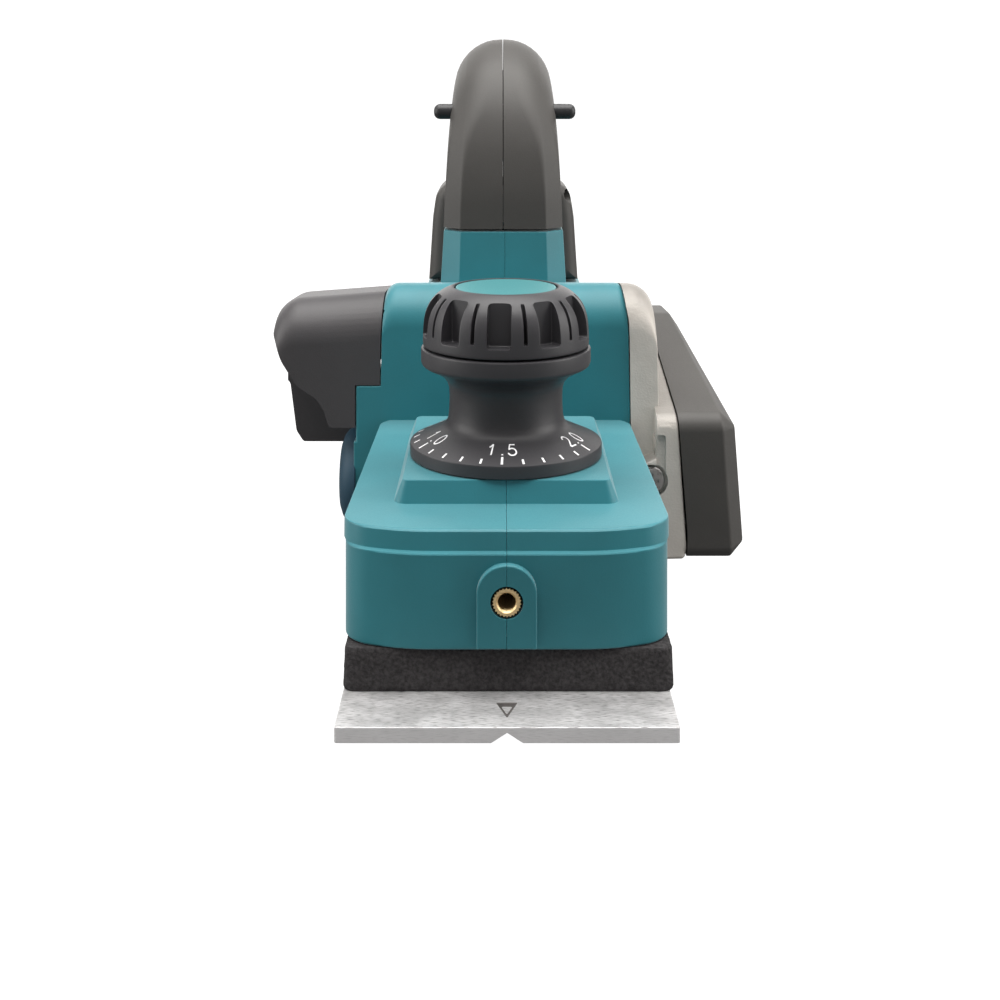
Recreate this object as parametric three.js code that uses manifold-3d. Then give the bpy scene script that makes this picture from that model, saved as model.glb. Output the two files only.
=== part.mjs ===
// A cordless electric hand planer with an 82 mm cutter, as an assembly of named solids. Millimetres, +Z up.
// The tool's nose points to -Y and its belt side is +X. The code counts Y from the cutter's axis and Z from
// the rear sole. The finished assembly is moved so that the origin is on the rear sole, ORIGIN_Y behind that
// axis.
import * as THREE from "three";
import { mergeVertices } from "three/addons/utils/BufferGeometryUtils.js";
import Module from "manifold-3d";

const wasm = await Module();
wasm.setup();

// ---------- driving dimensions ----------
const ORIGIN_Y = 60;
const GAP = 0.3; // between pieces that touch on the real tool
const WALL = 2.6; // of the moulded housing
const SPLIT = 0.15; // from the middle plane to each housing half

const SOLE = { half: 41.5, frontY: -145, throatFrontY: -27, throatRearY: 27, rearY: 150, thick: 3.8 };
const PLANING_DEPTH = 1.5; // as set at rest: the front base stands this far above the rear sole

const NOSE = {
  half: 42, rearHalf: 41.4, frontY: -126, sideRearY: -23.4, z0: 16.4, topZ: 46, corner: 12, ledgeZ: 40,
  ledge: 0.8,
};
const PEDESTAL = { half: 27.5, y0: -102, y1: -34, topZ: 52, flare: 2.2 };
const BODY = {
  half: 41.5, frontY: -15, topZ: 90, round: 11, crestY: -1, rearY: 100, rearTopZ: 73.8,
  lowSide: 49.4, lowTopZ: 57.3,
};
const TAIL = { half: 33, topZ: 71, rearY: 150, z0: 8.6 };

const DRUM = {
  z: 23.5, bodyR: 22.2, cutR: 23.5, half: 40.8, bladeHalf: 41, chamberHalf: 41.4, shaftR: 7.5, endR: 5.5,
  endX: 66.8,
};
const MOTOR = { y: 64, z: 50, statorR: 25, rotorR: 12, shaftR: 5, shaftX0: -36, shaftX1: 63 };
const PULLEY = { x0: 51.5, x1: 62.6, drumR: 12.2, motorR: 9, flange: 1.8, flangeThick: 1.3 };
const BELT = { thick: 2.2, x0: 53.2, x1: 60.9 };
const BEARING = { x0: 42.2, x1: 48.4, drumOuterR: 13.7, motorOuterR: 10.7, clear: 0.3 };

const FRAME = { x0: 41.8, x1: 50, rimX: 57.6, frontY: -16, z0: 3, rimWall: 3, blockY: -24.5 };
const COVER = { x0: 57.9, x1: 77, chamfer: 4.4, wall: 2.2, leanRear: 0.085, leanUp: 0.06, uprightZ: 12 };

const KNOB = {
  y: -76, dialR: 27.4, dialZ: 52.4, neckR: 16.3, collarR: 24.3, collarZ: 83.2, gripR: 23.9, gripZ: 83.6,
  capR: 14.6, topZ: 100.6, pockets: 10,
};
const DEPTH_SCREW = { r: 5, z0: 14 };

const PILLAR = { faceHalf: 14.6, half: 20.4, y0: 5, y1: 38, topZ: 107.2, chamferY: 6 };
const GRIP = {
  z0: 107.6,
  topZ: 173.6,
  // Half width against height, up one side.
  silhouette: [
    [20.4, 60], [20.2, 107], [19.4, 125], [18.4, 146], [17.6, 153], [16.6, 158], [13.4, 165.6], [8.4, 170.6],
  ],
};
const SHOULDER = { half: 31.4, y0: 119, y1: 150, z0: 72, z1: 113.5, round: 11 };
const LOCK = { y: 30, z: 146.7, halfLength: 25.7, halfY: 4, halfZ: 2.5 };
const TRIGGER_HALF = 7;
const BATTERY = { half: 30, y0: 150.4, splitY: 175, y1: 188, z0: 26, z1: 108, round: 6 };
const FOOT = { x0: 20, x1: 28, pivotY: 112, pivotZ: 12.6 };

const ROUND = 24; // facets of a round piece

// ---------- materials ----------
function paint(color, roughness, metalness = 0) {
  return new THREE.MeshStandardMaterial({ color, roughness, metalness });
}
const TEAL = paint(0x2b8790, 0.5);
const TEAL_LIGHT = paint(0x4fc0c0, 0.45);
const GREY = paint(0x55514e, 0.6);
const DARK = paint(0x3a383b, 0.55);
const FOAM = paint(0x2f2d2d, 0.95);
const CAST = paint(0xb8b2ac, 0.45, 0.8);
const MILLED = paint(0xb5b5b5, 0.35, 0.9);
const STEEL = paint(0x9a9a9c, 0.3, 0.95);
const BRASS = paint(0xd9a766, 0.35, 0.9);
const BLACK = paint(0x202022, 0.6);
const COPPER = paint(0xa86a3c, 0.4, 0.8);
const BOARD = paint(0x2e5a3a, 0.6);

// ---------- solids from three.js geometry ----------
function solid(geometry) {
  const bare = geometry.index ? geometry.toNonIndexed() : geometry.clone();
  const only = new THREE.BufferGeometry().setAttribute("position", bare.getAttribute("position"));
  const merged = mergeVertices(only, 1e-4);
  const mesh = new wasm.Mesh({
    numProp: 3,
    vertProperties: merged.attributes.position.array,
    triVerts: new Uint32Array(merged.index.array),
  });
  return new wasm.Manifold(mesh);
}

function geometryOf(made) {
  const mesh = made.getMesh();
  const geometry = new THREE.BufferGeometry();
  geometry.setAttribute("position", new THREE.BufferAttribute(new Float32Array(mesh.vertProperties), 3));
  geometry.setIndex(new THREE.BufferAttribute(new Uint32Array(mesh.triVerts), 1));
  geometry.computeVertexNormals();
  return geometry;
}

function box(x0, x1, y0, y1, z0, z1) {
  const geometry = new THREE.BoxGeometry(x1 - x0, y1 - y0, z1 - z0);
  return solid(geometry.translate((x0 + x1) / 2, (y0 + y1) / 2, (z0 + z1) / 2));
}

// Cylinders along each axis. u and v are the other two coordinates of the axis, in X, Y, Z order.
function rodX(r, x0, x1, y = 0, z = 0, facets = ROUND) {
  const geometry = new THREE.CylinderGeometry(r, r, x1 - x0, facets).rotateZ(-Math.PI / 2);
  return solid(geometry.translate((x0 + x1) / 2, y, z));
}
function rodY(r, y0, y1, x = 0, z = 0, facets = ROUND) {
  return solid(new THREE.CylinderGeometry(r, r, y1 - y0, facets).translate(x, (y0 + y1) / 2, z));
}
function rodZ(r, z0, z1, x = 0, y = 0, facets = ROUND) {
  const geometry = new THREE.CylinderGeometry(r, r, z1 - z0, facets).rotateX(Math.PI / 2);
  return solid(geometry.translate(x, y, (z0 + z1) / 2));
}

// Extrusions: a shape in (Y, Z) along X, in (X, Z) along Y, and in (X, Y) along Z.
function extruded(shape, length, bevel = 0, curveSegments = 4) {
  return new THREE.ExtrudeGeometry(shape, {
    depth: length - 2 * bevel,
    curveSegments,
    bevelEnabled: bevel > 0,
    bevelThickness: bevel,
    bevelSize: bevel,
    bevelOffset: -bevel,
    bevelSegments: 1,
  }).translate(0, 0, bevel);
}
const ALONG_X = new THREE.Matrix4().makeBasis(
  new THREE.Vector3(0, 1, 0),
  new THREE.Vector3(0, 0, 1),
  new THREE.Vector3(1, 0, 0),
);
const ALONG_Y = new THREE.Matrix4().makeBasis(
  new THREE.Vector3(1, 0, 0),
  new THREE.Vector3(0, 0, 1),
  new THREE.Vector3(0, -1, 0),
);
function alongX(shape, x0, x1, bevel = 0, curveSegments = 4) {
  const geometry = extruded(shape, x1 - x0, bevel, curveSegments).applyMatrix4(ALONG_X);
  return geometry.translate(x0, 0, 0);
}
function alongY(shape, y0, y1) {
  return extruded(shape, y1 - y0).applyMatrix4(ALONG_Y).translate(0, y1, 0);
}
function alongZ(shape, z0, z1) {
  return extruded(shape, z1 - z0).translate(0, 0, z0);
}

// Moves each vertex of a geometry by a function of its place.
function bent(geometry, move) {
  const place = geometry.attributes.position;
  const p = new THREE.Vector3();
  for (let i = 0; i < place.count; i++) {
    p.fromBufferAttribute(place, i);
    move(p);
    place.setXYZ(i, p.x, p.y, p.z);
  }
  return geometry;
}

function polygon(points) {
  return new THREE.Shape(points.map(([u, v]) => new THREE.Vector2(u, v)));
}

// A polygon with rounded corners: each point is [u, v, rounding]. The rounding stops short of the next corner.
function roundedPolygon(points) {
  const shape = new THREE.Shape();
  points.forEach(([u, v, wanted = 0], i) => {
    const here = new THREE.Vector2(u, v);
    const before = new THREE.Vector2(...points.at(i - 1).slice(0, 2));
    const after = new THREE.Vector2(...points[(i + 1) % points.length].slice(0, 2));
    const r = Math.min(wanted, 0.48 * here.distanceTo(before), 0.48 * here.distanceTo(after));
    const start = here.clone().add(before.sub(here).setLength(r));
    const end = here.clone().add(after.sub(here).setLength(r));
    if (i) shape.lineTo(start.x, start.y);
    else shape.moveTo(start.x, start.y);
    if (r) shape.quadraticCurveTo(u, v, end.x, end.y);
  });
  shape.closePath();
  return shape;
}
function roundedBox(u0, u1, v0, v1, r) {
  return roundedPolygon([[u0, v0, r], [u1, v0, r], [u1, v1, r], [u0, v1, r]]);
}

// The outline round two circles, as a belt runs: (y0, z0) and (y1, z1) are the centres.
function beltOutline(y0, z0, r0, y1, z1, r1) {
  const line = Math.atan2(z1 - z0, y1 - y0);
  const lean = Math.acos((r0 - r1) / Math.hypot(y1 - y0, z1 - z0));
  const path = new THREE.Shape();
  path.absarc(y0, z0, r0, line + lean, line - lean + 2 * Math.PI, false);
  path.absarc(y1, z1, r1, line - lean, line + lean, false);
  path.closePath();
  return path;
}

function turned(profile, facets = ROUND) {
  const points = profile.map(([r, z]) => new THREE.Vector2(r, z));
  return solid(new THREE.LatheGeometry(points, facets).rotateX(Math.PI / 2));
}

const union = (...parts) => parts.reduce((a, b) => a.add(b));
const cut = (from, ...tools) => tools.reduce((a, b) => a.subtract(b), from);
const HUGE = 400;
const leftHalf = (made) => made.intersect(box(SPLIT, HUGE, -HUGE, HUGE, -HUGE, HUGE));
const rightHalf = (made) => made.intersect(box(-HUGE, -SPLIT, -HUGE, HUGE, -HUGE, HUGE));

// ---------- the scene graph: one group for each rigid body ----------
const planer = new THREE.Group();
planer.position.y = -ORIGIN_Y;
const bodies = {};
const MOVING = ["front_base", "knob", "drum", "motor", "trigger", "lock", "battery", "latch", "foot"];
for (const name of ["housing", ...MOVING]) {
  bodies[name] = new THREE.Group();
  planer.add(bodies[name]);
}
bodies.knob.position.set(0, KNOB.y, 0);
bodies.drum.position.set(0, 0, DRUM.z);
bodies.motor.position.set(0, MOTOR.y, MOTOR.z);

function place(body, name, made, material) {
  const mesh = new THREE.Mesh(geometryOf(made), material);
  mesh.name = name;
  bodies[body].add(mesh);
}

// ---------- screws ----------
// A pan-head screw along +X whose head's underside is at x, with the hole that it needs.
function screwX(x, y, z, length, headR = 3.4, headThick = 2.4) {
  const socket = rodX(1.5, x + headThick - 1.4, x + headThick + 1, y, z, 6);
  return cut(union(rodX(headR, x, x + headThick, y, z, 12), rodX(1.7, x - length, x + 0.5, y, z, 8)), socket);
}
function screwHoleX(x, y, z, length, headR = 3.4, recess = 30) {
  return union(rodX(headR + 0.5, x - GAP, x + recess, y, z, 12), rodX(2.1, x - length - 1, x, y, z, 8));
}

// ---------- outlines shared by neighbours ----------
// The main body's side: vertical front wall, rounded top edge, then the top falling towards the tail.
function bodySide(grow = 0, bottomZ = NOSE.z0, frontY = BODY.frontY) {
  const r = BODY.round - grow / 2;
  return roundedPolygon([
    [frontY + grow, bottomZ],
    [BODY.rearY - grow, bottomZ],
    [BODY.rearY - grow, BODY.rearTopZ - grow, 6],
    [BODY.crestY, BODY.topZ - grow, 20],
    [frontY + grow, BODY.topZ - grow, r],
  ]);
}
// The belt cover's side: upright front edge, and a top edge that climbs to the motor pulley.
function coverSide(grow = 0) {
  return roundedPolygon([
    [-25 - grow, 4.7 - grow, 9],
    [26, 4.7 - grow, 12],
    [91 + grow, 36, 14],
    [89 + grow, 68 + grow, 13],
    [62, 68.5 + grow, 10],
    [-25 - grow, 50.6 + grow, 9],
  ]);
}

// ---------- housing halves ----------
function noseShape(inset) {
  const { half, rearHalf, frontY, sideRearY, corner } = NOSE;
  return roundedPolygon([
    [-half + inset, frontY + inset, corner],
    [half - inset, frontY + inset, corner],
    [half - inset, sideRearY],
    [rearHalf, sideRearY],
    [rearHalf, BODY.frontY + 6],
    [-rearHalf, BODY.frontY + 6],
    [-rearHalf, sideRearY],
    [-half + inset, sideRearY],
  ]);
}
function pedestal() {
  const { half, y0, y1, topZ, flare } = PEDESTAL;
  const block = alongZ(roundedBox(-half, half, y0, y1, 2), NOSE.topZ - 1, topZ);
  const middle = (y0 + y1) / 2;
  return solid(
    bent(block, (p) => {
      const low = (topZ - p.z) / (topZ - NOSE.topZ);
      p.x += Math.sign(p.x) * flare * low;
      p.y += Math.sign(p.y - middle) * flare * low;
    }),
  );
}
function pillar() {
  const { faceHalf, half, y0, y1, topZ, chamferY } = PILLAR;
  const section = polygon([
    [-faceHalf, y0], [faceHalf, y0], [half, y0 + chamferY], [half, y1], [-half, y1], [-half, y0 + chamferY],
  ]);
  const block = alongZ(section, BODY.topZ - 12, topZ);
  return solid(
    bent(block, (p) => {
      p.x *= 1 + (0.045 * (topZ - p.z)) / (topZ - BODY.topZ);
    }),
  );
}
function archBoss() {
  const shape = new THREE.Shape();
  shape.moveTo(-7.5, NOSE.z0);
  shape.lineTo(7.5, NOSE.z0);
  shape.lineTo(7.5, 30.4);
  shape.absarc(0, 30.4, 7.5, 0, Math.PI, false);
  shape.closePath();
  return solid(alongY(shape, NOSE.frontY - 0.9, NOSE.frontY + 14));
}

const INSERT = { z: 28.9, outerR: 3.5, boreR: 2.1, length: 11, recessR: 4.3, y0: NOSE.frontY - 0.3 };
const STATOR = { x0: -18, x1: 14 };
const REAR_SCREWS = [[-35, 60], [35, 60]];

function housing() {
  const lowerSide = roundedPolygon([[-16, NOSE.z0], [30, NOSE.z0], [34, 55, 6], [-15, BODY.lowTopZ, 3]]);
  const shell = union(
    solid(alongZ(noseShape(0), NOSE.z0, NOSE.ledgeZ)),
    solid(alongZ(noseShape(NOSE.ledge), NOSE.z0, NOSE.topZ)),
    pedestal(),
    solid(alongX(bodySide(), -BODY.half, BODY.half)),
    solid(alongX(lowerSide, -BODY.lowSide, 0)),
    box(-TAIL.half, TAIL.half, BODY.rearY - 5, TAIL.rearY, TAIL.z0, TAIL.topZ),
    box(-BODY.half, BODY.half, SOLE.throatRearY + 1, BODY.rearY, TAIL.z0, NOSE.z0 + 1),
    pillar(),
    archBoss(),
  );
  const innerX = BODY.half - WALL;
  const hollows = union(
    box(-NOSE.half + WALL, NOSE.half - WALL, NOSE.frontY + WALL, -31, -1, NOSE.topZ - WALL),
    rodX(DRUM.cutR + 2, -DRUM.chamberHalf, DRUM.chamberHalf + 2, 0, DRUM.z, 32),
    box(-DRUM.chamberHalf, DRUM.chamberHalf + 2, -25.5, 25.5, -1, DRUM.z),
    box(-60, innerX, BODY.frontY + WALL, 18, 46, 82), // chip chute, open to the nozzle
    box(-innerX, innerX, 31, BODY.rearY - WALL, -1, 70.8),
    box(-innerX, innerX, 31, 84, 60, 74),
    box(-TAIL.half + WALL, TAIL.half - WALL, BODY.rearY - 4, TAIL.rearY - WALL, -1, TAIL.topZ - WALL),
    box(-12.5, 12.5, 21, 34, 70, 130), // wiring passage up the pillar
  );
  const ribs = union(
    box(-12, -9, 30, BODY.rearY - 1, 12, 73),
    box(6, 9, 30, BODY.rearY - 1, 12, 73),
    rodX(BEARING.motorOuterR + 3, -BODY.half + 1, MOTOR.shaftX0 + 7, MOTOR.y, MOTOR.z),
  );
  const bores = union(
    rodX(MOTOR.statorR + GAP, STATOR.x0 - 1, STATOR.x1 + 1, MOTOR.y, MOTOR.z),
    rodX(BEARING.motorOuterR + BEARING.clear, MOTOR.shaftX0, 60, MOTOR.y, MOTOR.z),
    rodX(BEARING.drumOuterR + BEARING.clear, -48.4, 60, 0, DRUM.z),
    rodZ(DEPTH_SCREW.r + 0.6, 30, 60, 0, KNOB.y),
    rodY(INSERT.recessR, NOSE.frontY - 2, NOSE.frontY + 0.6, 0, INSERT.z),
    rodY(INSERT.outerR + GAP, NOSE.frontY - 2, NOSE.frontY + 12, 0, INSERT.z),
  );
  const insertBlock = cut(
    box(-6, 6, NOSE.frontY + 1, NOSE.frontY + 13.5, INSERT.z - 6, INSERT.z + 6),
    rodY(INSERT.outerR + GAP, NOSE.frontY - 2, NOSE.frontY + 12, 0, INSERT.z),
  );
  const guideBosses = union(...[-1, 1].map((side) => rodZ(6, 20, NOSE.topZ - 1, side * GUIDE_X, KNOB.y, 16)));
  const guideBores = union(...[-1, 1].map((side) => rodZ(3.4, 12, 38, side * GUIDE_X, KNOB.y, 16)));
  const rearBosses = union(...REAR_SCREWS.map(([x, y]) => rodZ(5, TAIL.z0, 24, x, y, 12)));
  const rearBores = union(...REAR_SCREWS.map(([x, y]) => rodZ(2.2, 6, 22, x, y, 10)));
  const footBlock = box(FOOT.x0 - 5, TAIL.half - 0.1, 104, 121, TAIL.z0, 23);
  const footPocket = box(FOOT.x0 - 1, FOOT.x1 + 1, 103, TAIL.rearY - WALL, 0, 20);
  const pinBore = rodX(1.75 + GAP, FOOT.x0 - 4, FOOT.x1 + 4, FOOT.pivotY, FOOT.pivotZ, 12);
  const ventY = [52, 58, 64, 70, 76];
  const vents = union(...ventY.map((y) => box(-BODY.half - 2, -BODY.half + 6, y, y + 3, 60, 74)));
  const inside = union(ribs, insertBlock, guideBosses, rearBosses, footBlock);
  const filled = cut(union(cut(shell, hollows), inside), footPocket, pinBore);
  return cut(filled, bores, guideBores, rearBores, vents, gripScrewHoles());
}
const GUIDE_X = 30;
// Head underside x, then y and z, of the screws that hold the two halves of the tool together.
const GRIP_SCREWS = [[14, 26, 122], [12, 96, 160], [24, 134, 107]];
function gripScrewHoles() {
  return union(...GRIP_SCREWS.map(([x, y, z]) => screwHoleX(x, y, z, 24)));
}

const shell = housing();
place("housing", "housing_left", leftHalf(shell), TEAL);
place("housing", "housing_right", rightHalf(shell), TEAL);

const bearingCap = turned([[0, 0], [16.6, 0], [16.5, 4], [15.4, 6.6], [13, 7.6], [0, 7.6]])
  .rotate([0, -90, 0])
  .translate([-BODY.lowSide - GAP, 0, DRUM.z]);
place("housing", "drum_bearing_cap", bearingCap, TEAL);

const knurls = 18;
const insertBody = cut(
  rodY(INSERT.outerR, INSERT.y0, INSERT.y0 + INSERT.length, 0, INSERT.z, knurls),
  rodY(INSERT.boreR, INSERT.y0 - 1, INSERT.y0 + INSERT.length + 1, 0, INSERT.z, 16),
);
place("housing", "edge_guide_insert", insertBody, BRASS);

// ---------- handle grip halves ----------
function gripLoop() {
  const outer = roundedPolygon([
    [3.4, GRIP.z0], [37, GRIP.z0], [36, 128, 8], [46, 139.5, 8], [92, 139.5, 12], [112, 128, 12], [119, 110],
    [119, SHOULDER.z0], [SHOULDER.y1, SHOULDER.z0], [SHOULDER.y1, 130, 14], [138, 152, 16],
    [100, 171, 26], [62, 174.2, 22], [26, 168, 24], [7, 138, 16],
  ]);
  const { topZ, silhouette } = GRIP;
  const mirrored = silhouette.toReversed().map(([x, z]) => [-x, z]);
  const section = polygon([...silhouette, [0, topZ], ...mirrored]);
  return solid(alongX(outer, -30, 30)).intersect(solid(alongY(section, -20, 200)));
}
function shoulderBlock() {
  const { half, y0, y1, z0, z1, round } = SHOULDER;
  const lowHalf = half + 0.6;
  const topHalf = half - 1.6;
  const shape = roundedPolygon([[-lowHalf, z0], [lowHalf, z0], [topHalf, z1, round], [-topHalf, z1, round]]);
  return solid(alongY(shape, y0, y1));
}
function lockBar(halfLength, grow) {
  const { y, z, halfY, halfZ } = LOCK;
  const section = roundedBox(y - halfY - grow, y + halfY + grow, z - halfZ - grow, z + halfZ + grow, 1.8);
  return solid(alongX(section, -halfLength, halfLength));
}
function grips() {
  const outer = union(gripLoop(), shoulderBlock());
  const foot = box(-HUGE, HUGE, -HUGE, 60, 0, GRIP.z0); // the bevel's tip below the seam
  const hollow = union(
    box(-12.5, 12.5, 16, 34, GRIP.z0 - 2, 146),
    box(-12.5, 12.5, 32, 112, 144, 163.5),
    box(-12.5, 12.5, 124, 136, SHOULDER.z0 - 2, 138),
    box(-27, 27, 123, 146, SHOULDER.z0 - 2, 100),
    box(-TRIGGER_HALF - 0.6, TRIGGER_HALF + 0.6, 38, 74, 132, 150),
    box(-15, 15, 140, 152, SHOULDER.z0 - 2, 98),
  );
  const screws = union(...GRIP_SCREWS.map(([x, y, z]) => rodX(5.6, -13, x + 2, y, z, 12)));
  const inside = outer.intersect(screws);
  return cut(union(cut(outer, hollow), inside), foot, lockBar(40, GAP), gripScrewHoles());
}
const gripShell = grips();
place("housing", "grip_left", leftHalf(gripShell), GREY);
place("housing", "grip_right", rightHalf(gripShell), GREY);
GRIP_SCREWS.forEach(([x, y, z], i) => place("housing", `grip_screw_${i + 1}`, screwX(x, y, z, 20), STEEL));
place("lock", "lock_off_bar", lockBar(LOCK.halfLength, 0), DARK);

// ---------- trigger and switch ----------
const triggerSide = roundedPolygon([
  [40, 146], [40, 138, 2], [44, 127, 5], [56, 129.5, 8], [66, 128.5, 4], [70, 137, 3], [70, 141], [50, 143],
]);
place("trigger", "trigger", solid(alongX(triggerSide, -TRIGGER_HALF, TRIGGER_HALF)), DARK);
place("housing", "switch_unit", box(-9, 9, 48, 82, 147.5, 162), BLACK);
place("housing", "control_board", box(-26, 26, 106, 114, 26, 62), BOARD);
const terminalBlock = union(box(-13, 13, 141, 149, 74, 96), box(-9, 9, 146, 154.5, 78, 92));
place("housing", "battery_terminal", terminalBlock, BLACK);

// ---------- aluminium side frame ----------
// The joint between the side frame and the belt cover leans in towards the top.
function leaningUp(p) {
  p.x -= COVER.leanUp * Math.max(0, p.z - COVER.uprightZ);
}
const FRAME_SCREW = { x: 47.6, z: 28.5, r: 4.7, y: -23.6 };
function sideFrame() {
  const plate = solid(alongX(bodySide(0, FRAME.z0, FRAME.frontY), FRAME.x0, FRAME.x1));
  const rim = solid(bent(alongX(coverSide(-0.5), FRAME.x1 - 1, FRAME.rimX), leaningUp));
  const chamber = solid(alongX(coverSide(-0.5 - FRAME.rimWall), FRAME.x1, FRAME.rimX + 1));
  const { x, z, r } = FRAME_SCREW;
  const seatY = FRAME_SCREW.y + 0.8;
  const seat = rodY(r + 0.8, FRAME.blockY - 1, seatY, x, z, 20);
  const channel = box(x - r, x + r, FRAME.blockY - 1, seatY, z, 50);
  const blockSide = FRAME.rimX - 0.4;
  const blockFront = roundedPolygon([
    [42.4, 3.4, 2], [blockSide, 4.4, 3], [blockSide, 15], [blockSide - 2, 49, 3], [51.4, 61, 1], [49.3, 63, 1],
    [49.3, 38], [42.4, 34],
  ]);
  const block = solid(alongY(blockFront, FRAME.blockY, -4));
  const chamberFront = box(FRAME.x1, FRAME.rimX + 1, -18, 1, 8, 40);
  const bores = union(
    rodX(BEARING.drumOuterR + BEARING.clear, FRAME.x0 - 1, FRAME.x1 + 1, 0, DRUM.z),
    rodX(BEARING.motorOuterR + BEARING.clear, FRAME.x0 - 1, FRAME.x1 + 1, MOTOR.y, MOTOR.z),
    rodY(2.8, -40, -12, x, z, 12),
  );
  const rodAt = (place, radius, x0) => rodX(radius, x0, FRAME.rimX + 1, place[0], place[1], 12);
  const bosses = union(...COVER_SCREWS.map((place) => rodAt(place, 4.2, FRAME.x1 - 1).intersect(rim)));
  const bossBores = union(...COVER_SCREWS.map((place) => rodAt(place, 2.1, FRAME.x1 - 2)));
  const whole = union(plate, cut(rim, chamber), cut(block, chamber, chamberFront), bosses);
  return cut(whole, seat, channel, bores, bossBores);
}
// The y and z of the belt cover's screws.
const COVER_SCREWS = [[-15, 38], [24, 9.6], [81.5, 47]];
place("housing", "side_frame", sideFrame(), CAST);

function frameScrew() {
  const { x, y, z, r } = FRAME_SCREW;
  const whole = union(rodY(r, y - 1.6, y + 0.4, x, z, 20), rodY(2.4, y, -18, x, z, 12));
  const slotAcross = box(x - 2.4, x + 2.4, -30, y - 0.6, z - 0.5, z + 0.5);
  const slotUpright = box(x - 0.5, x + 0.5, -30, y - 0.6, z - 2.4, z + 2.4);
  return cut(whole, union(slotAcross, slotUpright));
}
place("housing", "side_frame_screw", frameScrew(), STEEL);

// ---------- belt cover ----------
// Its outer face leans in towards the rear.
function leaningRear(p) {
  const out = Math.max(0, p.x - COVER.x0) / (COVER.x1 - COVER.x0);
  p.x -= out * COVER.leanRear * Math.max(0, p.y + 20);
  leaningUp(p);
}
function beltCover() {
  const { x0, x1, chamfer, wall } = COVER;
  const outer = solid(bent(alongX(coverSide(), x0 - 2 * chamfer, x1, chamfer), leaningRear));
  const inner = solid(bent(alongX(coverSide(-wall), x0 - 8, x1 - 2 * wall), leaningRear));
  const holes = COVER_SCREWS.map(([y, z]) => screwHoleX(coverScrewX(y, z), y, z, 24, 2.8, 12));
  const posts = COVER_SCREWS.map(([y, z]) => rodX(4.6, x0 - 4, x1, y, z, 12).intersect(outer));
  const openAbove = solid(bent(alongX(roundedBox(-60, 120, COVER.uprightZ, 90, 0), 0, x0), leaningUp));
  const openBelow = box(0, x0, -60, 120, -9, COVER.uprightZ);
  return cut(union(cut(outer, inner), ...posts), openAbove, openBelow, ...holes);
}
function coverScrewX(y, z) {
  const p = new THREE.Vector3(COVER.x1, y, z);
  leaningRear(p);
  return p.x - 4;
}
place("housing", "belt_cover", beltCover(), GREY);
COVER_SCREWS.forEach(([y, z], i) => {
  const x = coverScrewX(y, z);
  place("housing", `belt_cover_screw_${i + 1}`, screwX(x, y, z, x - FRAME.x1 - 1, 2.8, 2), STEEL);
});

// ---------- chip nozzle ----------
const HOOD = { x0: -77.4, rearY: 28, z0: 28, topZ: 89, wall: 2.4, mouthZ: 43.4 };
function chipNozzle() {
  const x1 = -BODY.half - GAP;
  const { x0, rearY, z0, topZ, wall, mouthZ } = HOOD;
  const y0 = BODY.frontY;
  const side = roundedPolygon([[y0, z0], [rearY, z0, 4], [rearY, topZ - 3, 10], [y0, topZ, 13]]);
  const front = roundedPolygon([
    [x1, z0], [x0 + 4, z0, 6], [x0, 45, 8], [x0, 70, 8], [x0 + 1, topZ - 4.5, 9], [x1, topZ],
  ]);
  const sideIn = roundedPolygon([
    [y0 + wall, 20], [rearY - wall, 20], [rearY - wall, topZ - 3 - wall, 8], [y0 + wall, topZ - wall, 11],
  ]);
  const frontIn = roundedPolygon([
    [x1 + 5, 20], [x0 + wall, 20], [x0 + wall, 70, 8], [x0 + 1 + wall, topZ - 4.5 - wall, 7],
    [x1 + 5, topZ - wall],
  ]);
  // The mouth is cut through the front and the end, and leaves the rear wall standing.
  const mouth = roundedPolygon([
    [-100, 10], [-30, 10], [-30, mouthZ], [-58.6, mouthZ, 1.5], [-60.2, 49, 3], [-62.5, 52.6, 3],
    [-69.3, 57.3, 4], [-74.7, 65.6, 6], [x0, 76, 6], [-100, 80],
  ]);
  const outer = solid(alongX(side, -90, x1)).intersect(solid(alongY(front, -60, 60)));
  const inner = solid(alongX(sideIn, -90, x1 + 5)).intersect(solid(alongY(frontIn, -60, 60)));
  const besideBody = box(-BODY.lowSide - GAP, 0, -60, 60, 0, BODY.lowTopZ + GAP);
  return cut(outer, inner, solid(alongY(mouth, -60, rearY - wall)), besideBody);
}
place("housing", "chip_nozzle", chipNozzle(), DARK);

// ---------- soles ----------
const V_GROOVE = { half: 3.9, deep: 2.5 };
function frontBase() {
  const { half, frontY, throatFrontY, thick } = SOLE;
  const z0 = PLANING_DEPTH;
  const plate = box(-half, half, frontY, throatFrontY, z0, z0 + thick);
  const groove = polygon([[-V_GROOVE.half, z0 - 0.01], [V_GROOVE.half, z0 - 0.01], [0, z0 + V_GROOVE.deep]]);
  const mark = polygon([[-2.6, -134.6], [0, -143], [2.6, -134.6]]);
  const boss = rodZ(10, z0, 26, 0, KNOB.y, 20);
  const bore = rodZ(DEPTH_SCREW.r + 0.5, z0 + 8, 30, 0, KNOB.y, 20);
  const pinSeats = [-1, 1].map((side) => rodZ(3 + GAP, z0 + 1.2, z0 + thick + 1, side * GUIDE_X, KNOB.y, 16));
  return cut(
    union(plate, boss),
    bore,
    solid(alongY(groove, frontY - 1, KNOB.y - 20)),
    solid(alongZ(mark, z0 + thick - 0.7, z0 + thick + 1)),
    ...pinSeats,
  );
}
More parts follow.
